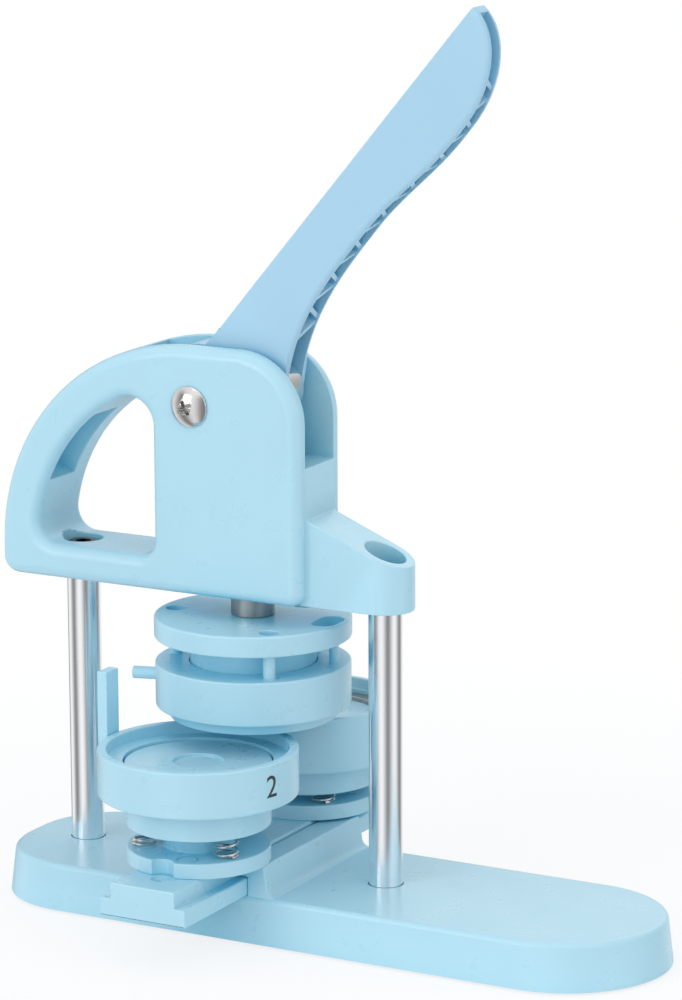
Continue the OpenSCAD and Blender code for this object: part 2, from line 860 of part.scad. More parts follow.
// s is the side the finger leans to: it sits off the die's centre by finger_off
module die_ring(z0, h, s) {
    top = z0 + barrel_h + h;
    seat = z0 + well_up;
    difference() {
        union() {
            rod(barrel_r - 0.5, z0, z0 + 1);
            rod(barrel_r, z0 + 0.5, z0 + barrel_h + 1);
            rod(ring_r - 0.7, z0 + barrel_h, z0 + barrel_h + 1);
            rod(ring_r, z0 + barrel_h + 0.7, top - 0.5);
            rod(ring_r - 0.5, top - 1, top);
            translate([-finger_x - finger_t, s * finger_off - finger_w / 2, top - 15])
                cube([finger_t, finger_w, finger_top - top + 15]);
            translate([-finger_x - finger_t, s * finger_off - finger_w / 2, top - 15])
                cube([finger_t + 3, finger_w, 15]);
        }
        rod(ring_bore_r, top - 4.7, top + 1);
        rod(ring_well_r, seat, top);
        rod(stem_r + 0.08, z0 - 1, top);
        for (a = [330, 210, 90]) rotate(a) translate([spring_ring, 0, 0])
            rod(spring_r + wire_r + 0.5, z0 - 1, z0 + spring_pocket);
    }
}

module front_ring() {
    color("skyblue") placed() translate([0, -die_front, 0]) die_ring(front_z, ring_front_h, 1);
}

module rear_ring() {
    color("skyblue") placed() translate([0, die_rear, 0]) die_ring(rear_z, ring_rear_h, -1);
}

// coil spring: n turns of wire w on the radius r, from z0 to z1
module coil(r, w, z0, z1, n) {
    sides = 6;
    per_turn = 14;
    steps = floor(n * per_turn);
    rise = z1 - z0 - 2 * w;
    pts = [for (i = [0 : steps], j = [0 : sides - 1])
        let (a = i * 360 / per_turn, b = j * 360 / sides, q = r + w * cos(b))
            [q * cos(a), q * sin(a), z0 + w + rise * i / steps + w * sin(b)]];
    skin = [for (i = [0 : steps - 1], j = [0 : sides - 1])
        let (a = i * sides + j, b = i * sides + (j + 1) % sides) [a, b, b + sides, a + sides]];
    first = [[for (j = [0 : sides - 1]) sides - 1 - j]];
    last = [[for (j = [0 : sides - 1]) steps * sides + j]];
    polyhedron(points = pts, faces = concat(skin, first, last), convexity = 10);
}

module die_springs(z0) {
    color("silver") for (a = [330, 210, 90]) rotate(a) translate([spring_ring, 0, 0])
        coil(spring_r, wire_r, flange_z, z0 + spring_pocket, 8);
}

module front_springs() {
    placed() translate([0, -die_front, 0]) die_springs(front_z);
}

module rear_springs() {
    placed() translate([0, die_rear, 0]) die_springs(rear_z);
}

module return_spring() {
    color("silver") placed() coil(10.7, 0.9, bush_top, cap_z, 8);
}

base();
base_feet();
column_left();
column_right();
base_bolts();
base_washers();
head();
head_bolts();
head_washers();
plunger_bush();
pivot_screw();
pivot_nut();
pivot_sleeve();
handle();
roller_pin();
roller();
plunger();
plunger_cap();
retaining_ring();
return_spring();
upper_plate();
upper_piston();
upper_screw();
collar();
collar_pin();
slide_bar();
die_screws();
front_die_base();
front_platen();
front_ring();
front_springs();
rear_die_base();
rear_platen();
rear_insert();
rear_ring();
rear_springs();
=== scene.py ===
"""Builds a hand press for round button badges around its frame, and dresses it."""

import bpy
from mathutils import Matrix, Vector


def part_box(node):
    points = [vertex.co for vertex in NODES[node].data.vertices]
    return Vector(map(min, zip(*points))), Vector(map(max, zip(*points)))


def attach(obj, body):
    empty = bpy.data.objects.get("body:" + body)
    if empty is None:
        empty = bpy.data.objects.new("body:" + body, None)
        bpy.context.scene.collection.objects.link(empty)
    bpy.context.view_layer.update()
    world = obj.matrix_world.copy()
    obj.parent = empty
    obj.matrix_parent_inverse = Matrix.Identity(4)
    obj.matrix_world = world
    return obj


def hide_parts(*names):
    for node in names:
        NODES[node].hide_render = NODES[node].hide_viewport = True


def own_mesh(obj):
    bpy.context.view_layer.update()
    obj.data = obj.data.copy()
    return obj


bl_info = {
    "name": "Button Badge Press",
    "version": (1, 0, 0),
    "blender": (4, 5, 0),
    "location": "3D Viewport > Sidebar > Badge Press",
    "description": "Models a lever press with two sliding dies for round button badges",
    "category": "Object",
}

from math import atan2, ceil, cos, degrees, pi, radians, sin, sqrt, tan

import bmesh
import bpy
from bpy.props import FloatProperty, FloatVectorProperty, PointerProperty
from bpy.types import Operator, Panel, PropertyGroup
from mathutils import Matrix, Vector

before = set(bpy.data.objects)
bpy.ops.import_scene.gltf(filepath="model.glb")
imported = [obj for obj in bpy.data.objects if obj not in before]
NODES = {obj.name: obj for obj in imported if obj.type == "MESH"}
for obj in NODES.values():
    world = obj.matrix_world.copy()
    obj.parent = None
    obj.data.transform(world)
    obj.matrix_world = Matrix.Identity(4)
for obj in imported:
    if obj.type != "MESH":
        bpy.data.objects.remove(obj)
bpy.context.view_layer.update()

MM = 0.001
# The press is modelled in millimetres about the plunger's axis.
_low, _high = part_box("plunger")
AXIS = Vector(((_low[0] + _high[0]) / 2, (_low[1] + _high[1]) / 2, 0))

# Heights and reaches that several pieces share, in millimetres.
DECK = 19.6
FOOT_OUT = 1.0
HEAD_Z = 131.0
HEAD_TOP = 230.8
HEAD_HALF = 18.0
HEAD_RIGHT = 30.7
HOUSING_LEFT = -36.0
GRIP = (-20.2, 143.8)
GRIP_R = 87.0
GRIP_IN = 70.7
FLOOR_Z = 145.0
SLOT_HALF = 11.5
SLOT_Z = 186.0
COLUMN_X = (-78.9, 59.5)
FEET = ((-82, 25), (-82, -25), (150, 24), (150, -24))
COLUMN_R = 6.7
SEAT_Z = 11.0
SOCKET_Z = 134.5
BOLT_Z = 138.5
PIVOT = (-17.5, 207.3)
ROLLER = (11.2, 214.3)
HEEL = (-12.2, 234.3)
LEVER_ANGLE = 49.9
LEVER_LENGTH = 173.2
LEVER_T = 16.0
LEVER_TIP_T = 11.4
CHEEK = 2.6
PLATE_Z = 114.0
PLATE_TOP = 122.45
PLATE_R = 39.3
COLLAR_Z = 86.15
COLLAR_TOP = 103.95
COLLAR_R = 38.95
POST_RING = 32.6
POST_TURN = 190.8
KEY_TURN = 4.0
KEY_HALF = 3.5
KEY_HOLE_R = 5.0
KEY_POST_R = 1.9
DRUM_R = 25.15
PLATFORM_Z = 33.2
FLANGE_Z = 39.35
FRONT_Y = -43.8
REAR_Y = 45.0
SPRING_RING = 21.5
SPRING_LOW, SPRING_TOP = 156, 181
THIRDS = (0, 120, 240)
MID_Y = 0.6


# Shapes -------------------------------------------------------------------


def arc_steps(radius, angle):
    step = 4 if radius > 20 else 8 if radius > 4 else 15
    return max(2, ceil(degrees(angle) / step))


def trace(corners, upright=True):
    """Draws a closed outline. A corner is (across, up) or (across, up, rounding)."""
    bm = bmesh.new()
    verts = []
    for corner in corners:
        across, up = corner[:2]
        verts.append(bm.verts.new((across, 0, up) if upright else (across, up, 0)))
    for first, second in zip(verts, verts[1:] + verts[:1]):
        bm.edges.new((first, second))
    for vert, corner in zip(verts, corners):
        if len(corner) == 3 and corner[2]:
            ends = [edge.other_vert(vert).co - vert.co for edge in vert.link_edges]
            angle = ends[0].angle(ends[1])
            bmesh.ops.bevel(
                bm, geom=[vert], offset=corner[2] / tan(angle / 2),
                offset_type="OFFSET", segments=arc_steps(corner[2], pi - angle),
                profile=0.5, affect="VERTICES", clamp_overlap=False, material=-1,
            )
    bmesh.ops.remove_doubles(bm, verts=bm.verts[:], dist=0.001)
    return bm


def face_out(bm):
    bmesh.ops.remove_doubles(bm, verts=bm.verts[:], dist=0.0005)
    bmesh.ops.recalc_face_normals(bm, faces=bm.faces[:])
    return bm


def turned(corners, steps=96):
    """Turns an outline of (radius, height, rounding) round the Z axis."""
    bm = trace(corners)
    middle = [e for e in bm.edges if all(abs(v.co.x) < 1e-5 for v in e.verts)]
    bmesh.ops.delete(bm, geom=middle, context="EDGES")
    bmesh.ops.spin(
        bm, geom=bm.verts[:] + bm.edges[:], cent=(0, 0, 0), axis=(0, 0, 1),
        angle=2 * pi, steps=steps, use_merge=True,
    )
    return face_out(bm)


def drawn(bm, depth):
    """Draws the outline in bm out into a solid along depth."""
    cap = bmesh.ops.contextual_create(bm, geom=bm.edges[:])["faces"]
    grown = bmesh.ops.extrude_face_region(bm, geom=cap, use_keep_orig=True)["geom"]
    new = [v for v in grown if isinstance(v, bmesh.types.BMVert)]
    bmesh.ops.translate(bm, verts=new, vec=depth)
    return face_out(bm)


def slab(corners, y0, y1):
    bm = drawn(trace(corners), (0, y1 - y0, 0))
    return moved(bm, (0, y0, 0))


def plate(corners, z0, z1):
    bm = drawn(trace(corners, upright=False), (0, 0, z1 - z0))
    return moved(bm, (0, 0, z0))


def block(x0, x1, y0, y1, z0, z1):
    bm = bmesh.new()
    bmesh.ops.create_cube(bm, size=1)
    bmesh.ops.scale(bm, verts=bm.verts[:], vec=(x1 - x0, y1 - y0, z1 - z0))
    return moved(bm, ((x0 + x1) / 2, (y0 + y1) / 2, (z0 + z1) / 2))


def rod(radius, start, end, steps=48):
    """A round bar from start to end."""
    start, end = Vector(start), Vector(end)
    bm = bmesh.new()
    bmesh.ops.create_cone(
        bm, cap_ends=True, segments=steps, radius1=radius, radius2=radius,
        depth=(end - start).length,
    )
    turn = (end - start).to_track_quat("Z", "Y").to_matrix().to_4x4()
    bmesh.ops.transform(
        bm, verts=bm.verts[:], matrix=Matrix.Translation((start + end) / 2) @ turn
    )
    return bm


def upright(radius, z0, z1, steps=48, x=0, y=0):
    """A round bar that stands at x and y."""
    return moved(rod(radius, (0, 0, z0), (0, 0, z1), steps), (x, y, 0))


def moved(bm, offset):
    bmesh.ops.translate(bm, verts=bm.verts[:], vec=offset)
    return bm


def swung(bm, angle, axis="Z"):
    turn = Matrix.Rotation(radians(angle), 3, axis)
    bmesh.ops.rotate(bm, verts=bm.verts[:], cent=(0, 0, 0), matrix=turn)
    return bm


def soften(bm, radius, test, segments=4):
    """Rounds the edges between faces at an angle that pass the test."""
    edges = [
        e for e in bm.edges
        if len(e.link_faces) == 2 and e.calc_face_angle() > radians(30) and test(e)
    ]
    bmesh.ops.bevel(
        bm, geom=edges, offset=radius, offset_type="OFFSET", segments=segments,
        profile=0.5, affect="EDGES", clamp_overlap=False, material=-1,
    )
    return bm


def joined(*parts):
    """Puts separate shapes into one bmesh."""
    whole = bmesh.new()
    for part in parts:
        mesh = bpy.data.meshes.new("part")
        part.to_mesh(mesh)
        part.free()
        whole.from_mesh(mesh)
        bpy.data.meshes.remove(mesh)
    return whole


def stand_in(bm):
    mesh = bpy.data.meshes.new("tool")
    bm.to_mesh(mesh)
    bm.free()
    obj = bpy.data.objects.new("tool", mesh)
    bpy.context.scene.collection.objects.link(obj)
    return obj


def carved(bm, *tools, how="DIFFERENCE"):
    """Cuts tools out of a shape, or joins them to it with how="UNION"."""
    work = stand_in(bm)
    helpers = [stand_in(tool) for tool in tools]
    for helper in helpers:
        cut = work.modifiers.new("cut", "BOOLEAN")
        cut.operation = how
        cut.solver = "EXACT"
        cut.object = helper
    graph = bpy.context.evaluated_depsgraph_get()
    mesh = bpy.data.meshes.new_from_object(work.evaluated_get(graph))
    result = bmesh.new()
    result.from_mesh(mesh)
    bpy.data.meshes.remove(mesh)
    for obj in [work] + helpers:
        data = obj.data
        bpy.data.objects.remove(obj)
        bpy.data.meshes.remove(data)
    bmesh.ops.remove_doubles(result, verts=result.verts[:], dist=0.002)
    bmesh.ops.dissolve_limit(
        result, angle_limit=radians(0.3), verts=result.verts[:], edges=result.edges[:]
    )
    return result


def merged(*parts):
    return carved(parts[0], *parts[1:], how="UNION")


def finished(bm, name, body, material, replaces=(), edge=0.5, segments=3):
    """Sets a shape in its place on the press and gives it its finish."""
    bmesh.ops.scale(bm, verts=bm.verts[:], vec=(MM, MM, MM))
    bmesh.ops.translate(bm, verts=bm.verts[:], vec=AXIS)
    if not edge:
        for crease in bm.edges:
            crease.smooth = crease.calc_face_angle(0) < radians(35)
    mesh = bpy.data.meshes.new(name)
    bm.to_mesh(mesh)
    bm.free()
    mesh.polygons.foreach_set("use_smooth", [True] * len(mesh.polygons))
    obj = bpy.data.objects.new(name, mesh)
    bpy.context.scene.collection.objects.link(obj)
    mesh.materials.append(material)
    eased(obj, edge, segments)
    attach(obj, body)
    if replaces:
        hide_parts(*replaces)
    return obj


def moulded(bm, name, body, node, edge=0.0):
    """Finishes a piece in the body's plastic, in place of a frame node."""
    return finished(bm, name, body, finish_named("body_plastic"), [node],
                    edge=edge)


def eased(obj, edge, segments):
    """Breaks the sharp edges of a piece and evens its shading."""
    if edge:
        bevel = obj.modifiers.new("edges", "BEVEL")
        bevel.width = edge * MM
        bevel.segments = segments
        bevel.limit_method = "ANGLE"
        bevel.angle_limit = radians(35)
        bevel.use_clamp_overlap = False
        bevel.miter_outer = "MITER_ARC"
    even = obj.modifiers.new("shading", "WEIGHTED_NORMAL")
    even.keep_sharp = True
    return obj


# Materials ----------------------------------------------------------------

# Ranges of pointiness and openness over which the masks go from 0 to 1 and back: pointiness
# for worn edges, openness for the painted shade in hollows.
WORN = (0.5, 0.56)
PAINTED_SHADE_RANGE = (0.1, 0.6)
# Samples of the ambient occlusion that finds where the shade is painted.
PAINTED_SHADE_SAMPLES = 16
# How each channel of the plastic's colour changes in its hollows: painted shade, darker in
# red and a deeper teal where the occlusion mask is 1.
PAINTED_SHADE_TINT = (0.52, 0.97, 1.06)


def node_in(tree, kind, operation=None, **inputs):
    """Adds a node with its inputs set, where an underscore stands for a space."""
    node = tree.nodes.new(kind)
    if operation:
        node.operation = operation
    for key, value in inputs.items():
        node.inputs[key.replace("_", " ")].default_value = value
    return node


class Finish:
    """A material under construction, with short calls for its nodes."""

    def __init__(self, name, colour, roughness, metallic=0.0):
        self.material = bpy.data.materials.new(name)
        self.material.use_nodes = True
        self.tree = self.material.node_tree
        self.shader = self.tree.nodes["Principled BSDF"]
        self.material.diffuse_color = (*colour, 1)
        self.shader.inputs["Base Color"].default_value = (*colour, 1)
        self.shader.inputs["Roughness"].default_value = roughness
        self.shader.inputs["Metallic"].default_value = metallic
        self.place = self.add("ShaderNodeTexCoord").outputs["Object"]
        self.height = None

    def add(self, kind, **inputs):
        return node_in(self.tree, kind, **inputs)

    def link(self, out, into):
        self.tree.links.new(out, into)

    def stretched(self, scale):
        node = self.add("ShaderNodeMapping", Scale=scale)
        self.link(self.place, node.inputs["Vector"])
        return node.outputs["Vector"]

    def noise(self, scale, detail=2.0, stretch=None):
        """Noise with features about 1 / scale metres across."""
        node = self.add("ShaderNodeTexNoise", Scale=scale, Detail=detail)
        self.link(self.stretched(stretch) if stretch else self.place, node.inputs["Vector"])
        return node.outputs["Fac"]

    def ranged(self, value, low, high, start=0.3, end=0.7):
        node = self.add(
            "ShaderNodeMapRange", From_Min=start, From_Max=end, To_Min=low, To_Max=high
        )
        self.link(value, node.inputs["Value"])
        return node.outputs["Result"]

    def mixed(self, factor, first, second):
        node = self.add("ShaderNodeMix")
        node.data_type = "RGBA"
        for socket, value in (("A", first), ("B", second)):
            into = [s for s in node.inputs if s.name == socket and s.type == "RGBA"][0]
            if isinstance(value, bpy.types.NodeSocket):
                self.link(value, into)
            else:
                into.default_value = (*value, 1)
        self.link(factor, node.inputs["Factor"])
        return [s for s in node.outputs if s.type == "RGBA"][0]

    def colour(self, out):
        self.link(out, self.shader.inputs["Base Color"])

    def roughness(self, out):
        self.link(out, self.shader.inputs["Roughness"])

    def bump(self, height, distance, strength=1.0):
        """Adds a layer of relief, distance metres high, over the last one."""
        node = self.add("ShaderNodeBump", Strength=strength, Distance=distance)
        self.link(height, node.inputs["Height"])
        if self.height:
            self.link(self.height, node.inputs["Normal"])
        self.height = node.outputs["Normal"]
        self.link(self.height, self.shader.inputs["Normal"])

    def edges(self):
        """A mask that is 1 along worn or thinly moulded outer edges."""
        geometry = self.add("ShaderNodeNewGeometry")
        return self.ranged(geometry.outputs["Pointiness"], 0, 1, *WORN)

    def painted_shade_mask(self, reach):
        """A painted shade mask from ambient occlusion: 1 in hollows and close gaps, where
        shade falls, and 0 on open faces.
        """
        shut = self.add("ShaderNodeAmbientOcclusion", Distance=reach)
        shut.samples = PAINTED_SHADE_SAMPLES
        return self.ranged(shut.outputs["AO"], 1, 0, *PAINTED_SHADE_RANGE)


def shade(colour, factor):
    return tuple(min(1.0, channel * factor) for channel in colour)


def moulded_plastic(name, colour, gloss=0.3):
    """Semi-gloss injection moulded plastic with faint flow and sink marks, and painted
    shade in its hollows.
    """
    m = Finish(name, colour, gloss)
    tint = m.mixed(m.ranged(m.noise(14, 3), 0, 1), shade(colour, 0.97), shade(colour, 1.03))
    tint = m.mixed(m.edges(), tint, shade(colour, 1.08))
    # Painted shade: the colour turns darker and a deeper teal in hollows and close gaps, in
    # place of shade and light bounced between the blue parts.
    painted_shade_colour = tuple(min(1, channel * share) for channel, share in zip(colour, PAINTED_SHADE_TINT))
    m.colour(m.mixed(m.painted_shade_mask(0.03), tint, painted_shade_colour))
    m.roughness(m.ranged(m.noise(90, 4), gloss - 0.04, gloss + 0.05))
    m.bump(m.noise(28, 2), 0.00025, 0.35)
    m.bump(m.noise(2600, 2), 0.00001, 0.35)
    m.shader.inputs["IOR"].default_value = 1.5
    return m.material


def chromed(name, colour):
    """Polished chrome with faint drawing lines along Z."""
    m = Finish(name, colour, 0.12, 1.0)
    m.roughness(m.ranged(m.noise(260, 4, (1, 1, 0.05)), 0.13, 0.19))
    m.bump(m.noise(900, 2, (1, 1, 0.01)), 0.000004, 0.3)
    ground = m.add("ShaderNodeTangent")
    ground.direction_type = "RADIAL"
    ground.axis = "Z"
    m.link(ground.outputs["Tangent"], m.shader.inputs["Tangent"])
    m.shader.inputs["Anisotropic"].default_value = 1.0
    m.shader.inputs["Anisotropic Rotation"].default_value = 0.25
    return m.material


def bright_steel(name, colour, roughness=0.22):
    """Turned steel, with the fine rings of the tool."""
    m = Finish(name, colour, roughness, 1.0)
    rings = m.noise(700, 3, (0.3, 0.3, 4))
    m.roughness(m.ranged(rings, roughness - 0.07, roughness + 0.1))
    m.bump(m.noise(1500, 2, (0.2, 0.2, 5)), 0.000012, 0.5)
    stain = m.ranged(m.noise(60, 3), 0, 1)
    m.colour(m.mixed(stain, shade(colour, 0.88), shade(colour, 1.06)))
    return m.material


def dark_steel(name, colour):
    m = Finish(name, colour, 0.38, 1.0)
    m.roughness(m.ranged(m.noise(500, 3), 0.3, 0.48))
    m.colour(m.mixed(m.edges(), colour, shade(colour, 2.2)))
    m.bump(m.noise(2200, 2), 0.00001, 0.4)
    return m.material


def bronze(name, colour):
    m = Finish(name, colour, 0.35, 1.0)
    m.colour(m.mixed(m.ranged(m.noise(120, 3), 0, 1), shade(colour, 0.8), colour))
    m.bump(m.noise(900, 2, (0.2, 0.2, 5)), 0.00001, 0.5)
    return m.material


def rubber(name, colour):
    m = Finish(name, colour, 0.75)
    dust = m.ranged(m.noise(200, 4), 0, 1)
    m.colour(m.mixed(dust, shade(colour, 0.8), shade(colour, 1.4)))
    m.bump(m.noise(1800, 3), 0.00004, 0.5)
    return m.material


def printed_ink(name, colour):
    m = Finish(name, colour, 0.5)
    m.colour(m.mixed(m.ranged(m.noise(900, 3), 0, 1), colour, shade(colour, 1.8)))
    m.bump(m.noise(2600, 2), 0.00001, 0.4)
    return m.material


def finish_named(name):
    """Looks up a finish, which the colours operator made."""
    return bpy.data.materials[name]


def dressed(node, material, edge=0.0):
    """Gives a frame node its finish, and breaks its edges where that's wanted."""
    obj = NODES[node]
    obj.data.materials.clear()
    obj.data.materials.append(finish_named(material))
    if edge:
        weld = obj.modifiers.new("weld", "WELD")
        weld.merge_threshold = 0.000005
        flat = obj.modifiers.new("flat", "DECIMATE")
        flat.decimate_type = "DISSOLVE"
        flat.angle_limit = radians(0.5)
        eased(obj, edge, 2)


# Settings -----------------------------------------------------------------


def tone(label, about, default):
    return FloatVectorProperty(
        name=label, description=about, subtype="COLOR", size=3, min=0, max=1,
        default=default,
    )


class PressColours(PropertyGroup):
    """Colours of the press, in linear values."""

    body: tone("Body plastic", "Base, head and dies", (0.446, 0.694, 0.806))
    lever: tone("Lever plastic", "The hand lever", (0.385, 0.602, 0.755))
    chrome: tone("Chrome", "Columns and roller", (0.93, 0.94, 0.96))
    steel: tone("Bright steel", "Plunger, springs, screws", (0.58, 0.57, 0.56))
    dark: tone("Dark steel", "Bolts in the recesses", (0.055, 0.06, 0.07))
    bush: tone("Bearing bronze", "The plunger's bush", (0.62, 0.42, 0.2))
    rubber: tone("Rubber", "The feet", (0.03, 0.03, 0.033))
    ink: tone("Ink", "Numbers printed on the dies", (0.03, 0.032, 0.036))


class StageSettings(PropertyGroup):
    """Camera and studio."""

    lens: FloatProperty(
        name="Lens", description="Focal length in millimetres", default=151.9,
        min=20, max=400,
    )
    light: FloatProperty(
        name="Light", description="Strength of all the lamps", default=1.0, min=0, max=5
    )
    floor: tone("Floor", "Colour of the floor and backdrop", (0.93, 0.94, 0.95))


class BADGE_OT_finishes(Operator):
    """Makes the plastic, steel, chrome and rubber finishes"""

    bl_idname = "badge_press.finishes"
    bl_label = "Finishes"
    bl_options = {"REGISTER", "UNDO"}

    def execute(self, context):
        colours = context.scene.badge_press_colours
        moulded_plastic("body_plastic", tuple(colours.body))
        moulded_plastic("lever_plastic", tuple(colours.lever), 0.34)
        chromed("chrome_plate", tuple(colours.chrome))
        bright_steel("roller_chrome", tuple(colours.chrome), 0.12)
        bright_steel("bright_steel", tuple(colours.steel))
        bright_steel("satin_steel", shade(tuple(colours.steel), 0.75), 0.34)
        bright_steel("polished_steel", shade(tuple(colours.steel), 1.3), 0.14)
        dark_steel("bolt_steel", tuple(colours.dark))
        bronze("bearing_bronze", tuple(colours.bush))
        rubber("foot_rubber", tuple(colours.rubber))
        printed_ink("printed_ink", tuple(colours.ink))
        return {"FINISHED"}


# Pieces -------------------------------------------------------------------


def tray(left, right, half, corner, z0, z1, draft):
    """A solid stadium with drafted sides, round at its right end."""
    bm = trace(
        [(-left, -half, corner), (right, -half, half), (right, half, half),
         (-left, half, corner)], upright=False,
    )
    face = bmesh.ops.contextual_create(bm, geom=bm.edges[:])["faces"]
    bmesh.ops.inset_region(
        bm, faces=face, thickness=draft, use_even_offset=True, use_boundary=True
    )
    top = max(bm.faces, key=lambda f: f.calc_area())
    foot = [e for e in bm.edges if e.is_boundary]
    bmesh.ops.translate(bm, verts=top.verts[:], vec=(0, 0, z1 - z0))
    bmesh.ops.contextual_create(bm, geom=foot)
    return moved(face_out(bm), (0, 0, z0))


class BADGE_OT_base(Operator):
    """Builds the ribbed base with the two guides of its slideway"""

    bl_idname = "badge_press.base"
    bl_label = "Base"
    bl_options = {"REGISTER", "UNDO"}

    def execute(self, context):
        body = tray(106.3, 180, 42.3, 37.3, FOOT_OUT, DECK, 2.2)
        soften(body, 2.0, lambda e: min(v.co.z for v in e.verts) > DECK - 0.1, 5)
        hollow = tray(103.5, 177.2, 39.5, 34.5, FOOT_OUT - 1, DECK - 2.8, 2.2)
        inside = []
        for x in (-45, -20, 20, 45, 90, 120):
            inside.append(block(x - 1, x + 1, -39.8, 39.8, 6, DECK - 1))
        for y in (-19, 0, 19):
            inside.append(block(-96, 162, y - 1, y + 1, 6, DECK - 1))
        for x in COLUMN_X:
            inside.append(upright(12, FOOT_OUT, DECK - 1, x=x))
        for x, y in FEET:
            inside.append(upright(10, FOOT_OUT, DECK - 1, x=x, y=y))
        guides = []
        for side in (-1, 1):
            section = [
                (side * 19.3, DECK - 1), (side * 31.4, DECK - 1), (side * 31.4, DECK),
                (side * 28.2, DECK + 0.9, 3.4), (side * 26.2, DECK + 12.7, 0.9),
                (side * 15.5, DECK + 12.7, 0.5), (side * 15.5, DECK + 7.2, 0.3),
                (side * 19.3, DECK + 7.2, 0.3),
            ]
            guide = slab(section, -39.3, 39.3)
            guides.append(soften(
                guide, 0.5, lambda e: min(v.co.z for v in e.verts) > DECK + 0.5
                and abs(e.verts[0].co.y - e.verts[1].co.y) < 0.01, 3,
            ))
        body = carved(body, hollow)
        body = merged(body, *inside, *guides)
        holes = []
        for x in COLUMN_X:
            holes.append(upright(COLUMN_R + 0.05, SEAT_Z, DECK + 5, 64, x=x))
            holes.append(upright(COLUMN_R + 0.4, DECK - 1.5, DECK + 4, 64, x=x))
            holes.append(upright(4.2, -1, DECK, x=x))
            holes.append(upright(8.05, -1, SEAT_Z - 3.5, x=x))
        for x, y in FEET:
            holes.append(upright(8, -1, FOOT_OUT + 1.5, x=x, y=y))
            holes.append(upright(2, 0, FOOT_OUT + 6, 24, x=x, y=y))
        body = carved(body, *holes)
        moulded(body, "Base", "root", "base")
        dressed("base_feet", "foot_rubber")
        return {"FINISHED"}


class BADGE_OT_columns(Operator):
    """Turns the two chromed columns, and finishes the bolts that hold them"""

    bl_idname = "badge_press.columns"
    bl_label = "Columns"
    bl_options = {"REGISTER", "UNDO"}

    def execute(self, context):
        for x, side in zip(COLUMN_X, ("left", "right")):
            bar = turned([
                (4, SEAT_Z, 0), (COLUMN_R, SEAT_Z, 0.6), (COLUMN_R, SOCKET_Z, 0.6),
                (4, SOCKET_Z, 0), (4, SOCKET_Z - 14, 0), (0, SOCKET_Z - 14, 0),
                (0, SEAT_Z + 14, 0), (4, SEAT_Z + 14, 0),
            ], 128)
            finished(moved(bar, (x, 0, 0)), "Column_" + side, "root",
                     finish_named("chrome_plate"), ["column_" + side], edge=0)
        for node in ("base_bolts", "head_bolts"):
            dressed(node, "bolt_steel", 0.2)
        for node in ("base_washers", "head_washers"):
            dressed(node, "bright_steel", 0.15)
        return {"FINISHED"}


def grip_pocket():
    """The core pocket in the inner side of the grip."""
    cx, cz = GRIP
    bm = bmesh.new()
    inner, outer, low_turn, high_turn = 66.7, 79.7, 129, 158
    steps = 14
    corners = [(inner, -12.5), (outer, -12.5), (outer, 5.5), (inner, 5.5)]
    verts = [bm.verts.new((cx + r, y, cz)) for r, y in corners]
    bm.faces.new(verts)
    bmesh.ops.rotate(bm, verts=bm.verts[:], cent=(cx, 0, cz),
                     matrix=Matrix.Rotation(radians(-low_turn), 3, "Y"))
    bmesh.ops.spin(bm, geom=bm.faces[:] + bm.edges[:] + bm.verts[:], cent=(cx, 0, cz),
                   axis=(0, 1, 0), angle=-radians(high_turn - low_turn), steps=steps,
                   use_merge=False)
    return face_out(bm)


def hand_hole():
    """The D-shaped hole, with its corners run into the arc of the grip."""
    cx, cz = GRIP
    top_r, foot_r, heel_r = 11.0, 9.0, 6.0
    top = (HOUSING_LEFT - top_r, cz + sqrt((GRIP_IN - top_r) ** 2
                                           - (HOUSING_LEFT - top_r - cx) ** 2))
    foot_z = FLOOR_Z + foot_r
    foot = (cx - sqrt((GRIP_IN - foot_r) ** 2 - (foot_z - cz) ** 2), foot_z)
    turn_top = atan2(top[1] - cz, top[0] - cx)
    turn_foot = atan2(foot[1] - cz, foot[0] - cx)
    bm = bmesh.new()
    last = bm.verts.new((HOUSING_LEFT, 0, FLOOR_Z + heel_r))

    def line(x, z):
        nonlocal last
        new = bm.verts.new((x, 0, z))
        bm.edges.new((last, new))
        last = new

    def arc(centre, angle, radius):
        nonlocal last
        made = bmesh.ops.spin(
            bm, geom=[last], cent=(centre[0], 0, centre[1]), axis=(0, -1, 0), angle=angle,
            steps=arc_steps(radius, angle), use_merge=False,
        )["geom_last"]
        last = [v for v in made if isinstance(v, bmesh.types.BMVert)][0]

    line(HOUSING_LEFT, top[1])
    arc(top, turn_top, top_r)
    arc(GRIP, turn_foot - turn_top, GRIP_IN)
    arc(foot, 1.5 * pi - turn_foot, foot_r)
    line(HOUSING_LEFT - heel_r, FLOOR_Z)
    arc((HOUSING_LEFT - heel_r, FLOOR_Z + heel_r), pi / 2, heel_r)
    bmesh.ops.remove_doubles(bm, verts=bm.verts[:], dist=0.001)
    return moved(drawn(bm, (0, 60, 0)), (0, -30, 0))


def arm():
    """The right arm: it slopes down to the boss of the right column."""
    x = COLUMN_X[1]
    r = 11.63
    bm = plate([(22.7, -r), (x + r, -r, r), (x + r, r, r), (22.7, r)], HEAD_Z, HEAD_Z + 60)
    high, low = Vector((HEAD_RIGHT, 0, HEAD_Z + 34.6)), Vector((x + r, 0, HEAD_Z + 18.1))
    normal = (low - high).cross(Vector((0, 1, 0)))
    if normal.z < 0:
        normal.negate()
    bmesh.ops.bisect_plane(bm, geom=bm.verts[:] + bm.edges[:] + bm.faces[:], plane_co=high,
                           plane_no=normal, clear_outer=True)
    bmesh.ops.holes_fill(bm, edges=[e for e in bm.edges if e.is_boundary])
    return face_out(bm)


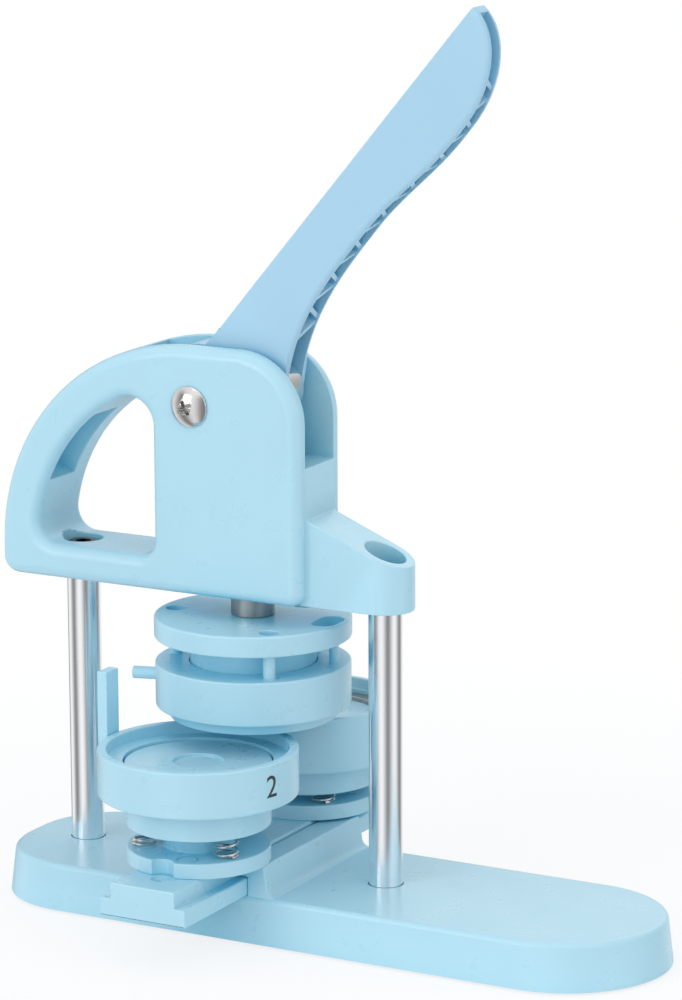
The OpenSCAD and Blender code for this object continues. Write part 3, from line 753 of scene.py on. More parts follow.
class BADGE_OT_head(Operator):
    """Builds the head: the grip, the slotted housing and the arm"""

    bl_idname = "badge_press.head"
    bl_label = "Head"
    bl_options = {"REGISTER", "UNDO"}

    def execute(self, context):
        left = GRIP[0] - GRIP_R
        body = slab([
            (left, HEAD_Z, 7), (left, HEAD_TOP, GRIP_R), (HEAD_RIGHT, HEAD_TOP, 28),
            (HEAD_RIGHT, HEAD_Z, 6),
        ], -HEAD_HALF, HEAD_HALF)
        body = carved(body, hand_hole())
        on_side = lambda e: all(abs(abs(v.co.y) - HEAD_HALF) < 0.01 for v in e.verts)
        soften(body, 5.0, on_side, 7)
        body = merged(body, arm(), upright(9, HEAD_Z - 1.2, HEAD_Z + 5, 64, x=COLUMN_X[0]))
        cuts = [
            slab([(-31.2, SLOT_Z), (60, SLOT_Z), (60, 250), (-44, 250), (-44, 222),
                  (-31.2, 213)], -SLOT_HALF, SLOT_HALF),
            block(-15.5, 18, -SLOT_HALF, SLOT_HALF, 176, 187),
            upright(13.5, 156, SLOT_Z + 1, 64),
            upright(11.5, HEAD_Z - 1, 157, 64),
            rod(4.05, (PIVOT[0], -40, PIVOT[1]), (PIVOT[0], 40, PIVOT[1])),
            grip_pocket(),
        ]
        for x in COLUMN_X:
            top = HEAD_Z + (60 if x > 0 else 25)
            cuts.append(upright(COLUMN_R + 0.05, HEAD_Z - 5, SOCKET_Z, 64, x=x))
            cuts.append(upright(4.2, HEAD_Z, HEAD_Z + 20, x=x))
            cuts.append(upright(8.05, BOLT_Z, top, 64, x=x))
        cuts.append(rod(7.6, (PIVOT[0], HEAD_HALF - 3.5, PIVOT[1]),
                        (PIVOT[0], HEAD_HALF + 5, PIVOT[1]), 6))
        body = carved(body, *cuts)
        moulded(body, "Head", "root", "head", 0.6)
        return {"FINISHED"}


# Distances from the lever's heel, and its blade's widths there.
ROOT_S, WAIST_S, BELLY_S, END_S = 30, 78, 128, 135
RIBS_END_S = 158
WAIST_W, BELLY_W = 21.4, 26.1


def blade_width(s):
    """Width of the lever's blade at a distance s from its heel."""
    width = WAIST_W
    if s < WAIST_S:
        width += 11.5 * ((WAIST_S - s) / 66.6) ** 3.2
    else:
        t = min(1, (s - WAIST_S) / (BELLY_S - WAIST_S))
        width += (BELLY_W - WAIST_W) * t * t * (3 - 2 * t)
    if s > END_S:
        width *= sqrt(max(0, 1 - ((s - END_S) / (LEVER_LENGTH - END_S)) ** 2))
    return width


def blade_slab(half, inset=0, grow=0, tip=0):
    """The blade's outline, lying along X, drawn out across its thickness."""
    steps = list(range(12, 135, 4)) + [
        END_S + (LEVER_LENGTH - END_S) * sin(radians(a)) for a in range(0, 91, 6)
    ]
    edge = [
        (s, -max(0.02, blade_width(s) + grow)) for s in steps if s <= LEVER_LENGTH - tip
    ]
    if inset:
        edge.append((LEVER_LENGTH - tip, edge[-1][1]))
        edge.append((LEVER_LENGTH - tip, -inset))
    corners = [(0, -inset), (0, -30 + inset)] + edge
    if not inset:
        corners[-1] = (LEVER_LENGTH, -0.01)
    return slab(corners, -half, half)


def tapered(bm, half):
    """Thins the blade from its root to its tip."""
    for x in range(ROOT_S, int(LEVER_LENGTH), 18):
        bmesh.ops.bisect_plane(bm, geom=bm.verts[:] + bm.edges[:] + bm.faces[:],
                               plane_co=(x, 0, 0), plane_no=(1, 0, 0))
    slope = (LEVER_T - LEVER_TIP_T) / 2 / (LEVER_LENGTH - ROOT_S)
    for vert in bm.verts:
        vert.co.y *= (half - slope * max(0, vert.co.x - ROOT_S)) / half
    return bm


def on_lever(bm):
    """Carries a shape from the blade's own axes to its place."""
    swung(bm, -LEVER_ANGLE, "Y")
    return moved(bm, (HEEL[0], 0, HEEL[1]))


def lever_ribs():
    """The zigzag of ribs in the channel."""
    reach, step = 7.0, 17.0
    run = step / 2 * reach / 8
    half = sqrt(reach ** 2 + (run / 2) ** 2)
    ribs = []
    for start, side in ((22, 1), (30.5, -1)):
        s = start
        while s < RIBS_END_S:
            rib = block(-half, half, -0.9, 0.9, -60, -2)
            swung(rib, side * degrees(atan2(2 * reach, run)))
            ribs.append(moved(rib, (s + step / 4, 0, 0)))
            s += step
    return ribs


class BADGE_OT_lever(Operator):
    """Builds the channelled lever with its ribs, hub and cam roller"""

    bl_idname = "badge_press.lever"
    bl_label = "Lever"
    bl_options = {"REGISTER", "UNDO"}

    def execute(self, context):
        px, pz = PIVOT
        rx, rz = ROLLER
        half = LEVER_T / 2
        inner = half - 0.02
        blade = blade_slab(half)
        soften(blade, 2.2, lambda e: abs(e.verts[0].co.y - e.verts[1].co.y) < 0.01
               and min(v.co.x for v in e.verts) > 11
               and max(v.co.z for v in e.verts) < -0.005, 4)
        soften(blade, 0.7, lambda e: abs(e.verts[0].co.y - e.verts[1].co.y) < 0.01
               and min(v.co.z for v in e.verts) > -0.05, 3)
        tapered(blade, half)
        channel = on_lever(tapered(blade_slab(half - CHEEK, 3, 8, -2), half - CHEEK))
        ribs = carved(merged(*lever_ribs()), blade_slab(20, 0, -0.8), how="INTERSECT")
        channel = carved(
            channel, rod(23.3, (px, -20, pz), (px, 20, pz), 96), on_lever(ribs)
        )
        crown = carved(rod(23.3, (px, -inner, pz), (px, inner, pz), 120),
                       slab([(px - 13.4, pz), (px - 13.4, pz + 60), (px + 60, pz + 60),
                             (px + 60, pz - 4), (px, pz - 13)], -20, 20), how="INTERSECT")
        web = slab([(px, pz - 13), (rx + 3, rz - 7.2), (19, rz), (20.3, 221.9), (20.9, 228),
                    (-5, 236), HEEL, (px, pz + 10)], -inner - 0.01, inner + 0.01)
        root = slab([HEEL, (-16, 230.4), (-8, 228), (-9.5, 237.5)], -inner, inner)
        body = merged(on_lever(blade), crown, web, root,
                      rod(13, (px, -half, pz), (px, half, pz), 72),
                      rod(10, (px, -11.2, pz), (px, 11.2, pz), 64),
                      rod(7.8, (rx, -inner, rz), (rx, inner, rz), 64))
        body = carved(
            body, channel,
            rod(10.8, (rx, -5.3, rz), (rx, 5.3, rz), 72),
            block(rx, rx + 30, -5.3, 5.3, rz - 20, rz),
            rod(6.05, (px, -20, pz), (px, 20, pz), 64),
            rod(3, (rx, -20, rz), (rx, 20, rz), 48),
        )
        finished(body, "Lever", "lever", finish_named("lever_plastic"),
                 ["handle"], edge=0)
        wheel = turned([
            (3.06, -4.9, 0.2), (6.2, -4.9, 0), (6.5, -4.6, 0.2), (8.6, -4.6, 0.2),
            (8.9, -4.9, 0), (10, -4.9, 0.7), (10, 4.9, 0.7), (8.9, 4.9, 0),
            (8.6, 4.6, 0.2), (6.5, 4.6, 0.2), (6.2, 4.9, 0), (3.06, 4.9, 0.2),
        ], 96)
        swung(wheel, 90, "X")
        finished(moved(wheel, (rx, 0, rz)), "Roller", "roller",
                 finish_named("roller_chrome"), ["roller"], edge=0)
        dressed("roller_pin", "bright_steel", 0.2)
        return {"FINISHED"}


def cross_recess():
    """A cross-shaped driver recess, narrowing with depth."""
    bars = []
    for angle in (0, 90):
        bar = block(-3.3, 3.3, -0.75, 0.75, -3.4, 0.6)
        for vert in bar.verts:
            if vert.co.z < 0:
                vert.co.x *= 0.42
                vert.co.y *= 0.7
        bars.append(swung(bar, angle))
    core = block(-1.5, 1.5, -1.5, 1.5, -3.0, 0.6)
    for vert in core.verts:
        if vert.co.z < 0:
            vert.co.x *= 0.4
            vert.co.y *= 0.4
    bars.append(swung(core, 45))
    return merged(*bars)


class BADGE_OT_pivot(Operator):
    """Turns the lever's pivot screw, with its domed head and cross recess"""

    bl_idname = "badge_press.pivot"
    bl_label = "Pivot screw"
    bl_options = {"REGISTER", "UNDO"}

    def execute(self, context):
        dome = 12.2
        corners = [(0, -35, 0), (4, -35, 0.4), (4, 0, 0), (7.7, 0, 0), (8.1, 0.4, 0)]
        for radius in (8.1, 7.9, 7.4, 6.6, 5.6, 4.4, 3.0, 1.5, 0):
            corners.append((radius, sqrt(dome ** 2 - radius ** 2) - 8.2, 0))
        head = turned(corners, 96)
        recess = moved(swung(cross_recess(), 30), (0, 0, 3.6))
        head = carved(head, recess)
        swung(head, 90, "X")
        moved(head, (PIVOT[0], -HEAD_HALF, PIVOT[1]))
        finished(head, "Pivot_screw", "root", finish_named("polished_steel"),
                 ["pivot_screw"], edge=0.12, segments=2)
        dressed("pivot_nut", "bright_steel", 0.3)
        dressed("pivot_sleeve", "bright_steel")
        return {"FINISHED"}


COIL_SIDES, COIL_STEPS = 10, 24


def coil(radius, wire, z0, z1, turns):
    """A compression spring with a closed turn at each end."""
    bm = bmesh.new()
    ring = bmesh.ops.create_circle(
        bm, cap_ends=True, radius=wire, segments=COIL_SIDES
    )["verts"]
    bmesh.ops.rotate(bm, verts=ring, cent=(0, 0, 0), matrix=Matrix.Rotation(pi / 2, 3, "X"))
    bmesh.ops.translate(bm, verts=ring, vec=(radius, 0, z0 + wire))
    tight = 2 * wire
    pitch = (z1 - z0 - 2 * wire - 2 * tight) / (turns - 2)
    geom = bm.faces[:] + bm.edges[:] + bm.verts[:]
    for count, rise in ((1, tight), (turns - 2, pitch), (1, tight)):
        made = bmesh.ops.spin(
            bm, geom=geom, cent=(0, 0, 0), axis=(0, 0, 1), angle=2 * pi * count,
            steps=int(COIL_STEPS * count), dvec=(0, 0, rise / COIL_STEPS),
            use_merge=False,
        )
        geom = made["geom_last"]
    return face_out(bm)


class BADGE_OT_plunger(Operator):
    """Turns the plunger, and winds its return spring"""

    bl_idname = "badge_press.plunger"
    bl_label = "Plunger"
    bl_options = {"REGISTER", "UNDO"}

    def execute(self, context):
        bar = turned([
            (3, 108, 0), (5, 108, 0), (5, PLATE_TOP, 0), (8.71, PLATE_TOP, 0.5),
            (8.71, 181, 0.4), (7, 181, 0), (7, 184, 0), (6.4, 184, 0), (6.4, 185.2, 0),
            (7, 185.2, 0), (7, 187.1, 0.5), (0, 187.1, 0), (0, 128, 0), (3, 128, 0),
        ], 96)
        finished(bar, "Plunger", "press", finish_named("satin_steel"), ["plunger"],
                 edge=0)
        dressed("plunger_cap", "bolt_steel", 0.3)
        dressed("retaining_ring", "bolt_steel", 0.15)
        dressed("plunger_bush", "bearing_bronze")
        wound = coil(10.7, 0.9, SPRING_LOW, SPRING_TOP, 8)
        spring = finished(wound, "Return_spring", "root",
                          finish_named("polished_steel"), ["return_spring"], edge=0)
        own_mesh(spring)
        return {"FINISHED"}


def oblong(radius, half, z0, z1):
    """An upright bar with round ends, across X."""
    r = radius
    return plate([
        (-r, -half - r, r), (r, -half - r, r), (r, half + r, r), (-r, half + r, r),
    ], z0, z1)


class BADGE_OT_upper_die(Operator):
    """Builds the plate, piston and turning collar of the upper die"""

    bl_idname = "badge_press.upper_die"
    bl_label = "Upper die"
    bl_options = {"REGISTER", "UNDO"}

    def execute(self, context):
        disc = turned([(0, PLATE_Z, 0), (PLATE_R, PLATE_Z, 0.8), (PLATE_R, PLATE_TOP, 0.9),
                       (0, PLATE_TOP, 0)], 160)
        holes = [upright(5, PLATE_Z - 1, PLATE_TOP + 1)]
        posts = []
        for turn in THIRDS:
            hole = upright(4, PLATE_Z - 1, PLATE_TOP + 1, x=POST_RING)
            holes.append(swung(hole, POST_TURN + turn))
            post = turned([(0, COLLAR_TOP - 1, 0), (2.5, COLLAR_TOP - 1, 0),
                           (2.5, PLATE_Z - 0.5, 0.4), (0, PLATE_Z - 0.5, 0)], 32)
            posts.append(swung(moved(post, (POST_RING, 0, 0)), POST_TURN + turn))
        slot = moved(oblong(KEY_HOLE_R, KEY_HALF, PLATE_Z - 1, PLATE_TOP + 1),
                     (POST_RING, 0, 0))
        holes.append(swung(slot, KEY_TURN))
        disc = carved(disc, *holes)
        moulded(disc, "Upper_plate", "press", "upper_plate", 0.35)
        drum = turned([
            (6.2, 94.65, 0), (28.9, 94.65, 0.4), (28.9, 98.95, 0.3), (DRUM_R, 98.95, 0),
            (DRUM_R, PLATE_Z, 0), (5, PLATE_Z, 0), (5, 108, 0), (3.2, 108, 0),
            (3.2, 101.65, 0), (6.2, 101.65, 0),
        ], 128)
        moulded(drum, "Upper_piston", "press", "upper_piston")
        dressed("upper_screw", "bolt_steel", 0.2)
        ring = turned([
            (29.4, 81.6, 0.3), (33.25, 81.6, 0.5), (34.35, 85.25, 0), (36.35, 85.25, 0.3),
            (36.35, COLLAR_Z, 0), (COLLAR_R, COLLAR_Z, 0.9), (COLLAR_R, COLLAR_TOP, 0.8),
            (DRUM_R + 0.35, COLLAR_TOP, 0.3), (DRUM_R + 0.35, 98.95, 0), (29.4, 98.95, 0),
        ], 160)
        key = turned([(0, COLLAR_TOP - 1, 0), (KEY_POST_R, COLLAR_TOP - 1, 0),
                      (KEY_POST_R, PLATE_Z - 0.5, 0.3), (0, PLATE_Z - 0.5, 0)], 32)
        moved(key, (POST_RING, KEY_HALF + KEY_HOLE_R - KEY_POST_R - 0.9, 0))
        ring = merged(ring, swung(key, KEY_TURN), *posts)
        pin_z = COLLAR_Z + 9.65
        hole = rod(2.5, (COLLAR_R - 6, 0, pin_z), (COLLAR_R + 6, 0, pin_z))
        ring = carved(ring, swung(hole, 196))
        moulded(ring, "Collar", "collar", "collar", 0.25)
        pin = turned([(0, 0, 0), (2.5, 0, 0), (2.5, 16.7, 0.7), (0, 16.7, 0)], 48)
        swung(pin, 90, "Y")
        moved(pin, (COLLAR_R - 6, 0, pin_z))
        moulded(swung(pin, 196), "Collar_pin", "collar", "collar_pin")
        return {"FINISHED"}


class BADGE_OT_slide(Operator):
    """Builds the slide bar with its raised platform"""

    bl_idname = "badge_press.slide"
    bl_label = "Slide bar"
    bl_options = {"REGISTER", "UNDO"}

    def execute(self, context):
        half = 87.9
        section = [
            (-19, DECK, 0.3), (19, DECK, 0.3), (19, DECK + 7, 0.9), (14.3, DECK + 7, 0.6),
            (14.3, PLATFORM_Z, 1.0), (-14.3, PLATFORM_Z, 1.0), (-14.3, DECK + 7, 0.6),
            (-19, DECK + 7, 0.9),
        ]
        bar = slab(section, MID_Y - half, MID_Y + half)
        holes = []
        for y in (FRONT_Y, REAR_Y):
            for x in (-8, 8):
                holes.append(upright(2.7, DECK - 1, PLATFORM_Z + 1, 32, x=x, y=y))
                holes.append(upright(5, DECK - 1, DECK + 5, 32, x=x, y=y))
        for y in (-74.7, 74.7):
            holes.append(upright(1.5, DECK - 1, PLATFORM_Z + 1, 32, y=MID_Y + y))
            recess = upright(3.1, PLATFORM_Z - 0.9, PLATFORM_Z + 1)
            holes.append(moved(recess, (0, MID_Y + y, 0)))
        bar = carved(bar, *holes)
        moulded(bar, "Slide_bar", "slide", "slide_bar", 0.5)
        dressed("die_screws", "bolt_steel", 0.2)
        return {"FINISHED"}


class Die:
    """The sizes in which the two lower dies differ."""

    def __init__(self, name, y, z, low, height, reach, bore, platen, seat, side, turn,
                 travel):
        self.name, self.y, self.side, self.travel = name, y, side, travel
        self.z, self.rim, self.top, self.seat = z, z + low, z + low + height, seat
        self.reach, self.bore, self.platen, self.well = reach, bore, platen, platen + 0.5
        self.spring_turns = [turn + third for third in THIRDS]


FRONT_DIE = Die("front", FRONT_Y, 48.1, 12.1, 18.5, 39.4, 35.75, 28.95, 67.0, 1, 210, 5.5)
REAR_DIE = Die("rear", REAR_Y, 43.9, 11.1, 22.9, 37.1, 34.8, 33.5, 62.8, -1, 193.5, 4.28)


def die_foot(die):
    """The flanged stem that a die's ring slides on, with its ejector mark."""
    body = turned([(0, PLATFORM_Z, 0), (28.3, PLATFORM_Z, 0.4), (28.3, FLANGE_Z, 0.7),
                   (14.2, FLANGE_Z, 0.8), (14.2, die.seat, 0), (0, die.seat, 0)], 128)
    notch = merged(upright(5.2, PLATFORM_Z - 1, FLANGE_Z + 1, y=-29.5),
                   block(-5.2, 5.2, -40, -29.5, PLATFORM_Z - 1, FLANGE_Z + 1))
    mark = turned([(3.7, FLANGE_Z - 0.25, 0), (4.2, FLANGE_Z - 0.25, 0),
                   (4.2, FLANGE_Z + 1, 0), (3.7, FLANGE_Z + 1, 0)], 48)
    cuts = [notch, moved(mark, (7.2, -20.9, 0))]
    if die.side < 0:
        cuts = [swung(cut, 180) for cut in cuts]
    cuts.append(upright(3.2, die.seat - 12, die.seat + 1))
    for x in (-8, 8):
        cuts.append(upright(2.5, PLATFORM_Z - 1, PLATFORM_Z + 13, 24, x=x))
    return carved(body, *cuts)


def die_ring(die):
    """A ring that slides on its stem, with its finger."""
    z, rim, top, seat = die.z, die.rim, die.top, die.seat
    body = turned([
        (14.28, z, 0.3), (28.6, z, 0.8), (28.6, rim, 0.5), (die.reach, rim, 1.0),
        (die.reach, top, 0.8), (die.bore, top, 0.6), (die.bore, top - 4.7, 0.2),
        (die.well, top - 4.7, 0.2), (die.well, seat, 0), (14.28, seat, 0),
    ], 160)
    near, far = die.side * 1.3 - 4.5, die.side * 1.3 + 4.5
    finger = merged(
        block(-43.85, -39.55, near, far, top - 15, COLLAR_TOP + 0.15),
        block(-43.85, -die.bore - 0.2, near, far, top - 15, top - 1.2),
    )
    body = merged(body, finger)
    pockets = []
    for turn in die.spring_turns:
        pocket = upright(5.5, z - 1, z + 14, x=SPRING_RING)
        pockets.append(swung(pocket, turn))
    return carved(body, *pockets)


def die_springs(die):
    springs = []
    for turn in die.spring_turns:
        spring = coil(4.4, 0.6, FLANGE_Z, die.z + 14, 7)
        springs.append(swung(moved(spring, (SPRING_RING, 0, 0)), turn))
    return joined(*springs)


def die_platen(die, top, rest):
    """The disc on the stem; rest holds its profile from the rim to the middle."""
    return turned([(0, die.seat - 11, 0), (3.2, die.seat - 11, 0), (3.2, die.seat, 0),
                   (die.platen, die.seat, 0)] + rest + [(0, top, 0)], 128)


class BADGE_OT_lower_dies(Operator):
    """Builds the two lower dies: stems, platens, rings and springs"""

    bl_idname = "badge_press.lower_dies"
    bl_label = "Lower dies"
    bl_options = {"REGISTER", "UNDO"}

    def execute(self, context):
        shine = finish_named("polished_steel")
        for die in (FRONT_DIE, REAR_DIE):
            low, place = die.name, (0, die.y, 0)
            moulded(moved(die_foot(die), place), low.title() + "_die_base", "slide",
                    low + "_die_base", 0.3)
            moulded(moved(die_ring(die), place), low.title() + "_ring", "ring_" + low,
                    low + "_ring", 0.3)
            springs = finished(moved(die_springs(die), place), low.title() + "_springs",
                               "slide", shine, [low + "_springs"], edge=0)
            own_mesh(springs)
        top, dimple = FRONT_DIE.seat + 6, FRONT_DIE.seat + 4.8
        platen = die_platen(FRONT_DIE, dimple, [(28.95, top, 0.6), (9.85, top, 0.3),
                                                (9.85, dimple, 0.3)])
        moulded(moved(platen, (0, FRONT_Y, 0)), "Front_platen", "slide", "front_platen")
        top, step = REAR_DIE.seat + 7.2, REAR_DIE.seat + 4.2
        platen = die_platen(REAR_DIE, top, [(33.5, step, 0), (28.2, step, 0),
                                            (28.2, top, 0.3)])
        moulded(moved(platen, (0, REAR_Y, 0)), "Rear_platen", "slide", "rear_platen")
        ring = turned([(28.2, step, 0), (33.5, step, 0), (33.5, top + 1.7, 0.4),
                       (28.2, top + 1.7, 0.4)], 128)
        finished(moved(ring, (0, REAR_Y, 0)), "Rear_insert", "slide",
                 finish_named("satin_steel"), ["rear_insert"], edge=0)
        return {"FINISHED"}


def printed(text, size, radius, turn, z):
    """A number printed on a round wall of the given radius, facing outwards."""
    curve = bpy.data.curves.new("number", "FONT")
    curve.body = text
    curve.size = size
    curve.align_x = "CENTER"
    curve.align_y = "CENTER"
    curve.extrude = 0.06
    curve.resolution_u = 6
    holder = bpy.data.objects.new("number", curve)
    bpy.context.scene.collection.objects.link(holder)
    graph = bpy.context.evaluated_depsgraph_get()
    mesh = bpy.data.meshes.new_from_object(holder.evaluated_get(graph))
    bm = bmesh.new()
    bm.from_mesh(mesh)
    bpy.data.objects.remove(holder)
    bpy.data.curves.remove(curve)
    bpy.data.meshes.remove(mesh)
    bmesh.ops.triangulate(bm, faces=bm.faces[:])
    for vert in bm.verts:
        angle = radians(turn) + vert.co.x / radius
        reach = radius + vert.co.z
        vert.co = (reach * cos(angle), reach * sin(angle), z + vert.co.y)
    return bm


class BADGE_OT_numbers(Operator):
    """Prints a plain number on each lower die"""

    bl_idname = "badge_press.numbers"
    bl_label = "Die numbers"
    bl_options = {"REGISTER", "UNDO"}

    def execute(self, context):
        ink = finish_named("printed_ink")
        for die, text, z in ((FRONT_DIE, "2", 69.5), (REAR_DIE, "4", 66.5)):
            number = moved(printed(text, 12.5, die.reach + 0.06, -13.5, z), (0, die.y, 0))
            finished(number, die.name.title() + "_number", "ring_" + die.name,
                     ink, edge=0)
        return {"FINISHED"}


WHITE = (1, 1, 1, 1)

# The studio: pale panels round the press for gloss, and a room that is lighter
# towards one side for the rest.
PANELS = 4
PANEL_LIGHT, PANEL_GAP = 0.95, 0.25
ROOM_COLOUR = (0.9, 0.97, 1.0)
ROOM_BRIGHT_SIDE = (0.31, -0.44, 0.84)
ROOM_DIM, ROOM_LIGHT = 0.25, 0.95

# Each lamp's name, place and size in metres, and its power in watts.
AIM = (0, 0, 0.16)
LAMPS = (
    ("Key", (-1.0, -2.1, 1.0), (1.3, 1.3), 13),
    ("Top", (0.1, -0.2, 2.0), (1.6, 1.6), 4),
    ("Fill", (1.9, -0.9, 0.9), (1.2, 1.4), 3),
    ("Back", (-0.6, 2.0, 1.2), (1.6, 1.2), 4.5),
)

# The camera's turn, pitch and roll in degrees, and its place from the axis in metres.
CAMERA_ANGLES = (28.79, 12.84, -0.23)
CAMERA_PLACE = (0.8121, -1.4052, 0.5255)
CAMERA_SHIFT = 0.0311


def maths(tree, operation, *values):
    """A sum of sockets or plain numbers."""
    node = node_in(tree, "ShaderNodeMath", operation)
    for into, value in zip(node.inputs, values):
        if isinstance(value, bpy.types.NodeSocket):
            tree.links.new(value, into)
        else:
            into.default_value = value
    return node.outputs[0]


def spread(tree, value, **ends):
    """Carries a value from one range to another."""
    node = node_in(tree, "ShaderNodeMapRange", **ends)
    tree.links.new(value, node.inputs["Value"])
    return node.outputs["Result"]


def chosen(tree, share, first, second):
    """The first shader, or the second where share is 1."""
    node = node_in(tree, "ShaderNodeMixShader")
    for into, out in zip(node.inputs, (share, first, second)):
        tree.links.new(out, into)
    return node.outputs[0]


def surround(tree, vector):
    """Evenly spaced pale panels all round the press, with grey between them."""
    around = node_in(tree, "ShaderNodeTexGradient")
    around.gradient_type = "RADIAL"
    tree.links.new(vector, around.inputs["Vector"])
    turns = maths(tree, "MULTIPLY", around.outputs["Fac"], 2 * pi * PANELS)
    return spread(tree, maths(tree, "COSINE", turns), From_Min=-1, From_Max=1,
                  To_Min=PANEL_GAP, To_Max=PANEL_LIGHT)


def stage_floor(name, colour):
    """A pale matt floor with the shadow, that runs out into white for the camera."""
    material = bpy.data.materials.new(name)
    material.use_nodes = True
    tree = material.node_tree
    tree.nodes.clear()
    out = node_in(tree, "ShaderNodeOutputMaterial")
    matt = node_in(tree, "ShaderNodeBsdfDiffuse", Color=(*colour, 1))
    white = node_in(tree, "ShaderNodeEmission", Color=WHITE)
    open_air = node_in(tree, "ShaderNodeBsdfTransparent")
    coords = node_in(tree, "ShaderNodeTexCoord")
    reach = node_in(tree, "ShaderNodeVectorMath", "LENGTH")
    tree.links.new(coords.outputs["Object"], reach.inputs[0])
    fade = spread(tree, reach.outputs["Value"], From_Min=0.2, From_Max=0.45, To_Min=0.8,
                  To_Max=1.0)
    path = node_in(tree, "ShaderNodeLightPath")
    share = maths(tree, "MULTIPLY", path.outputs["Is Camera Ray"], fade)
    seen = chosen(tree, share, matt.outputs[0], white.outputs[0])
    glossy = chosen(tree, path.outputs["Is Glossy Ray"], seen, open_air.outputs[0])
    tree.links.new(glossy, out.inputs["Surface"])
    return material


def studio_world(strength):
    """White to the camera, pale panels in gloss and an even pale room to the rest."""
    world = bpy.data.worlds.new("studio")
    world.use_nodes = True
    tree = world.node_tree
    tree.nodes.clear()
    out = node_in(tree, "ShaderNodeOutputWorld")
    coords = node_in(tree, "ShaderNodeTexCoord").outputs["Generated"]
    room = node_in(tree, "ShaderNodeBackground", Color=(*ROOM_COLOUR, 1))
    facing = node_in(tree, "ShaderNodeVectorMath", "DOT_PRODUCT")
    facing.inputs[1].default_value = ROOM_BRIGHT_SIDE
    tree.links.new(coords, facing.inputs[0])
    share = spread(tree, facing.outputs["Value"], From_Min=-1, From_Max=1,
                   To_Min=ROOM_DIM * strength, To_Max=ROOM_LIGHT * strength)
    tree.links.new(share, room.inputs["Strength"])
    split = node_in(tree, "ShaderNodeSeparateXYZ")
    tree.links.new(coords, split.inputs[0])
    lid = node_in(tree, "ShaderNodeMix")
    lid.data_type = "RGBA"
    height = spread(tree, split.outputs["Z"], From_Min=0.45, From_Max=0.7)
    tree.links.new(height, lid.inputs["Factor"])
    under, over = [into for into in lid.inputs if into.type == "RGBA"]
    over.default_value = WHITE
    tree.links.new(surround(tree, coords), under)
    gloss = node_in(tree, "ShaderNodeBackground")
    tree.links.new([o for o in lid.outputs if o.type == "RGBA"][0], gloss.inputs["Color"])
    white = node_in(tree, "ShaderNodeBackground", Color=WHITE)
    path = node_in(tree, "ShaderNodeLightPath")
    first = chosen(tree, path.outputs["Is Glossy Ray"], room.outputs[0], gloss.outputs[0])
    second = chosen(tree, path.outputs["Is Camera Ray"], first, white.outputs[0])
    tree.links.new(second, out.inputs["Surface"])
    bpy.context.scene.world = world


def softbox(name, place, size, power):
    lamp = bpy.data.lights.new(name, "AREA")
    lamp.shape = "RECTANGLE"
    lamp.size, lamp.size_y = size
    lamp.energy = power
    obj = bpy.data.objects.new(name, lamp)
    bpy.context.scene.collection.objects.link(obj)
    obj.location = place
    aim = Vector(AIM) - Vector(place)
    obj.rotation_euler = aim.to_track_quat("-Z", "Y").to_euler()


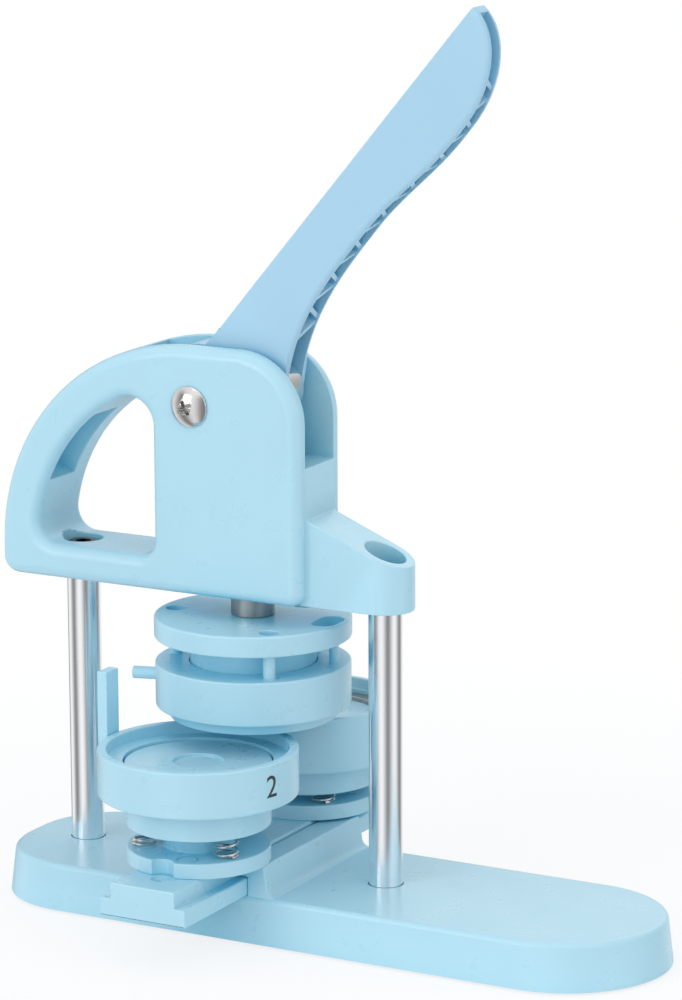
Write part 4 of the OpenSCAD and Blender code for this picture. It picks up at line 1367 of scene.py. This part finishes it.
class BADGE_OT_stage(Operator):
    """Sets the floor, the studio light and the camera"""

    bl_idname = "badge_press.stage"
    bl_label = "Stage"
    bl_options = {"REGISTER", "UNDO"}

    def execute(self, context):
        settings = context.scene.badge_press_stage
        bm = bmesh.new()
        bmesh.ops.create_grid(bm, x_segments=1, y_segments=1, size=6)
        mesh = bpy.data.meshes.new("Floor")
        bm.to_mesh(mesh)
        bm.free()
        floor = bpy.data.objects.new("Floor", mesh)
        context.scene.collection.objects.link(floor)
        mesh.materials.append(stage_floor("pale_floor", tuple(settings.floor)))
        studio_world(settings.light)
        for name, place, size, power in LAMPS:
            softbox(name, place, size, power * settings.light)
        turn, pitch, roll = [radians(angle) for angle in CAMERA_ANGLES]
        back = Vector((sin(turn) * cos(pitch), -cos(turn) * cos(pitch), sin(pitch)))
        right = Vector((cos(turn), sin(turn), 0))
        up = back.cross(right)
        right, up = (right * cos(roll) + up * sin(roll), up * cos(roll) - right * sin(roll))
        camera = bpy.data.cameras.new("Camera")
        camera.lens = settings.lens
        camera.sensor_width = 36
        camera.shift_y = CAMERA_SHIFT
        camera.clip_start = 0.05
        camera.clip_end = 60
        eye = bpy.data.objects.new("Camera", camera)
        context.scene.collection.objects.link(eye)
        place = Vector(CAMERA_PLACE) + AXIS
        eye.matrix_world = Matrix((
            (right.x, up.x, back.x, place.x),
            (right.y, up.y, back.y, place.y),
            (right.z, up.z, back.z, place.z),
            (0, 0, 0, 1),
        ))
        context.scene.camera = eye
        context.scene.view_settings.view_transform = "Standard"
        return {"FINISHED"}


OPERATORS = (
    BADGE_OT_finishes, BADGE_OT_base, BADGE_OT_columns, BADGE_OT_head, BADGE_OT_lever,
    BADGE_OT_pivot, BADGE_OT_plunger, BADGE_OT_upper_die, BADGE_OT_slide,
    BADGE_OT_lower_dies, BADGE_OT_numbers, BADGE_OT_stage,
)


class BADGE_PT_panel(Panel):
    """Lists the steps that build the press"""

    bl_label = "Badge Press"
    bl_idname = "BADGE_PT_panel"
    bl_space_type = "VIEW_3D"
    bl_region_type = "UI"
    bl_category = "Badge Press"

    def draw(self, context):
        layout = self.layout
        scene = context.scene
        for settings in (scene.badge_press_colours, scene.badge_press_stage):
            box = layout.box()
            for key in settings.bl_rna.properties.keys():
                if key not in ("rna_type", "name"):
                    box.prop(settings, key)
        for operator in OPERATORS:
            layout.operator(operator.bl_idname)


CLASSES = (PressColours, StageSettings) + OPERATORS + (BADGE_PT_panel,)


def register():
    for cls in CLASSES:
        bpy.utils.register_class(cls)
    bpy.types.Scene.badge_press_colours = PointerProperty(type=PressColours)
    bpy.types.Scene.badge_press_stage = PointerProperty(type=StageSettings)


def unregister():
    del bpy.types.Scene.badge_press_stage
    del bpy.types.Scene.badge_press_colours
    for cls in reversed(CLASSES):
        bpy.utils.unregister_class(cls)


def main():
    register()
    for operator in OPERATORS:
        getattr(bpy.ops.badge_press, operator.bl_idname.split(".")[1])()


if __name__ == "__main__":
    main()
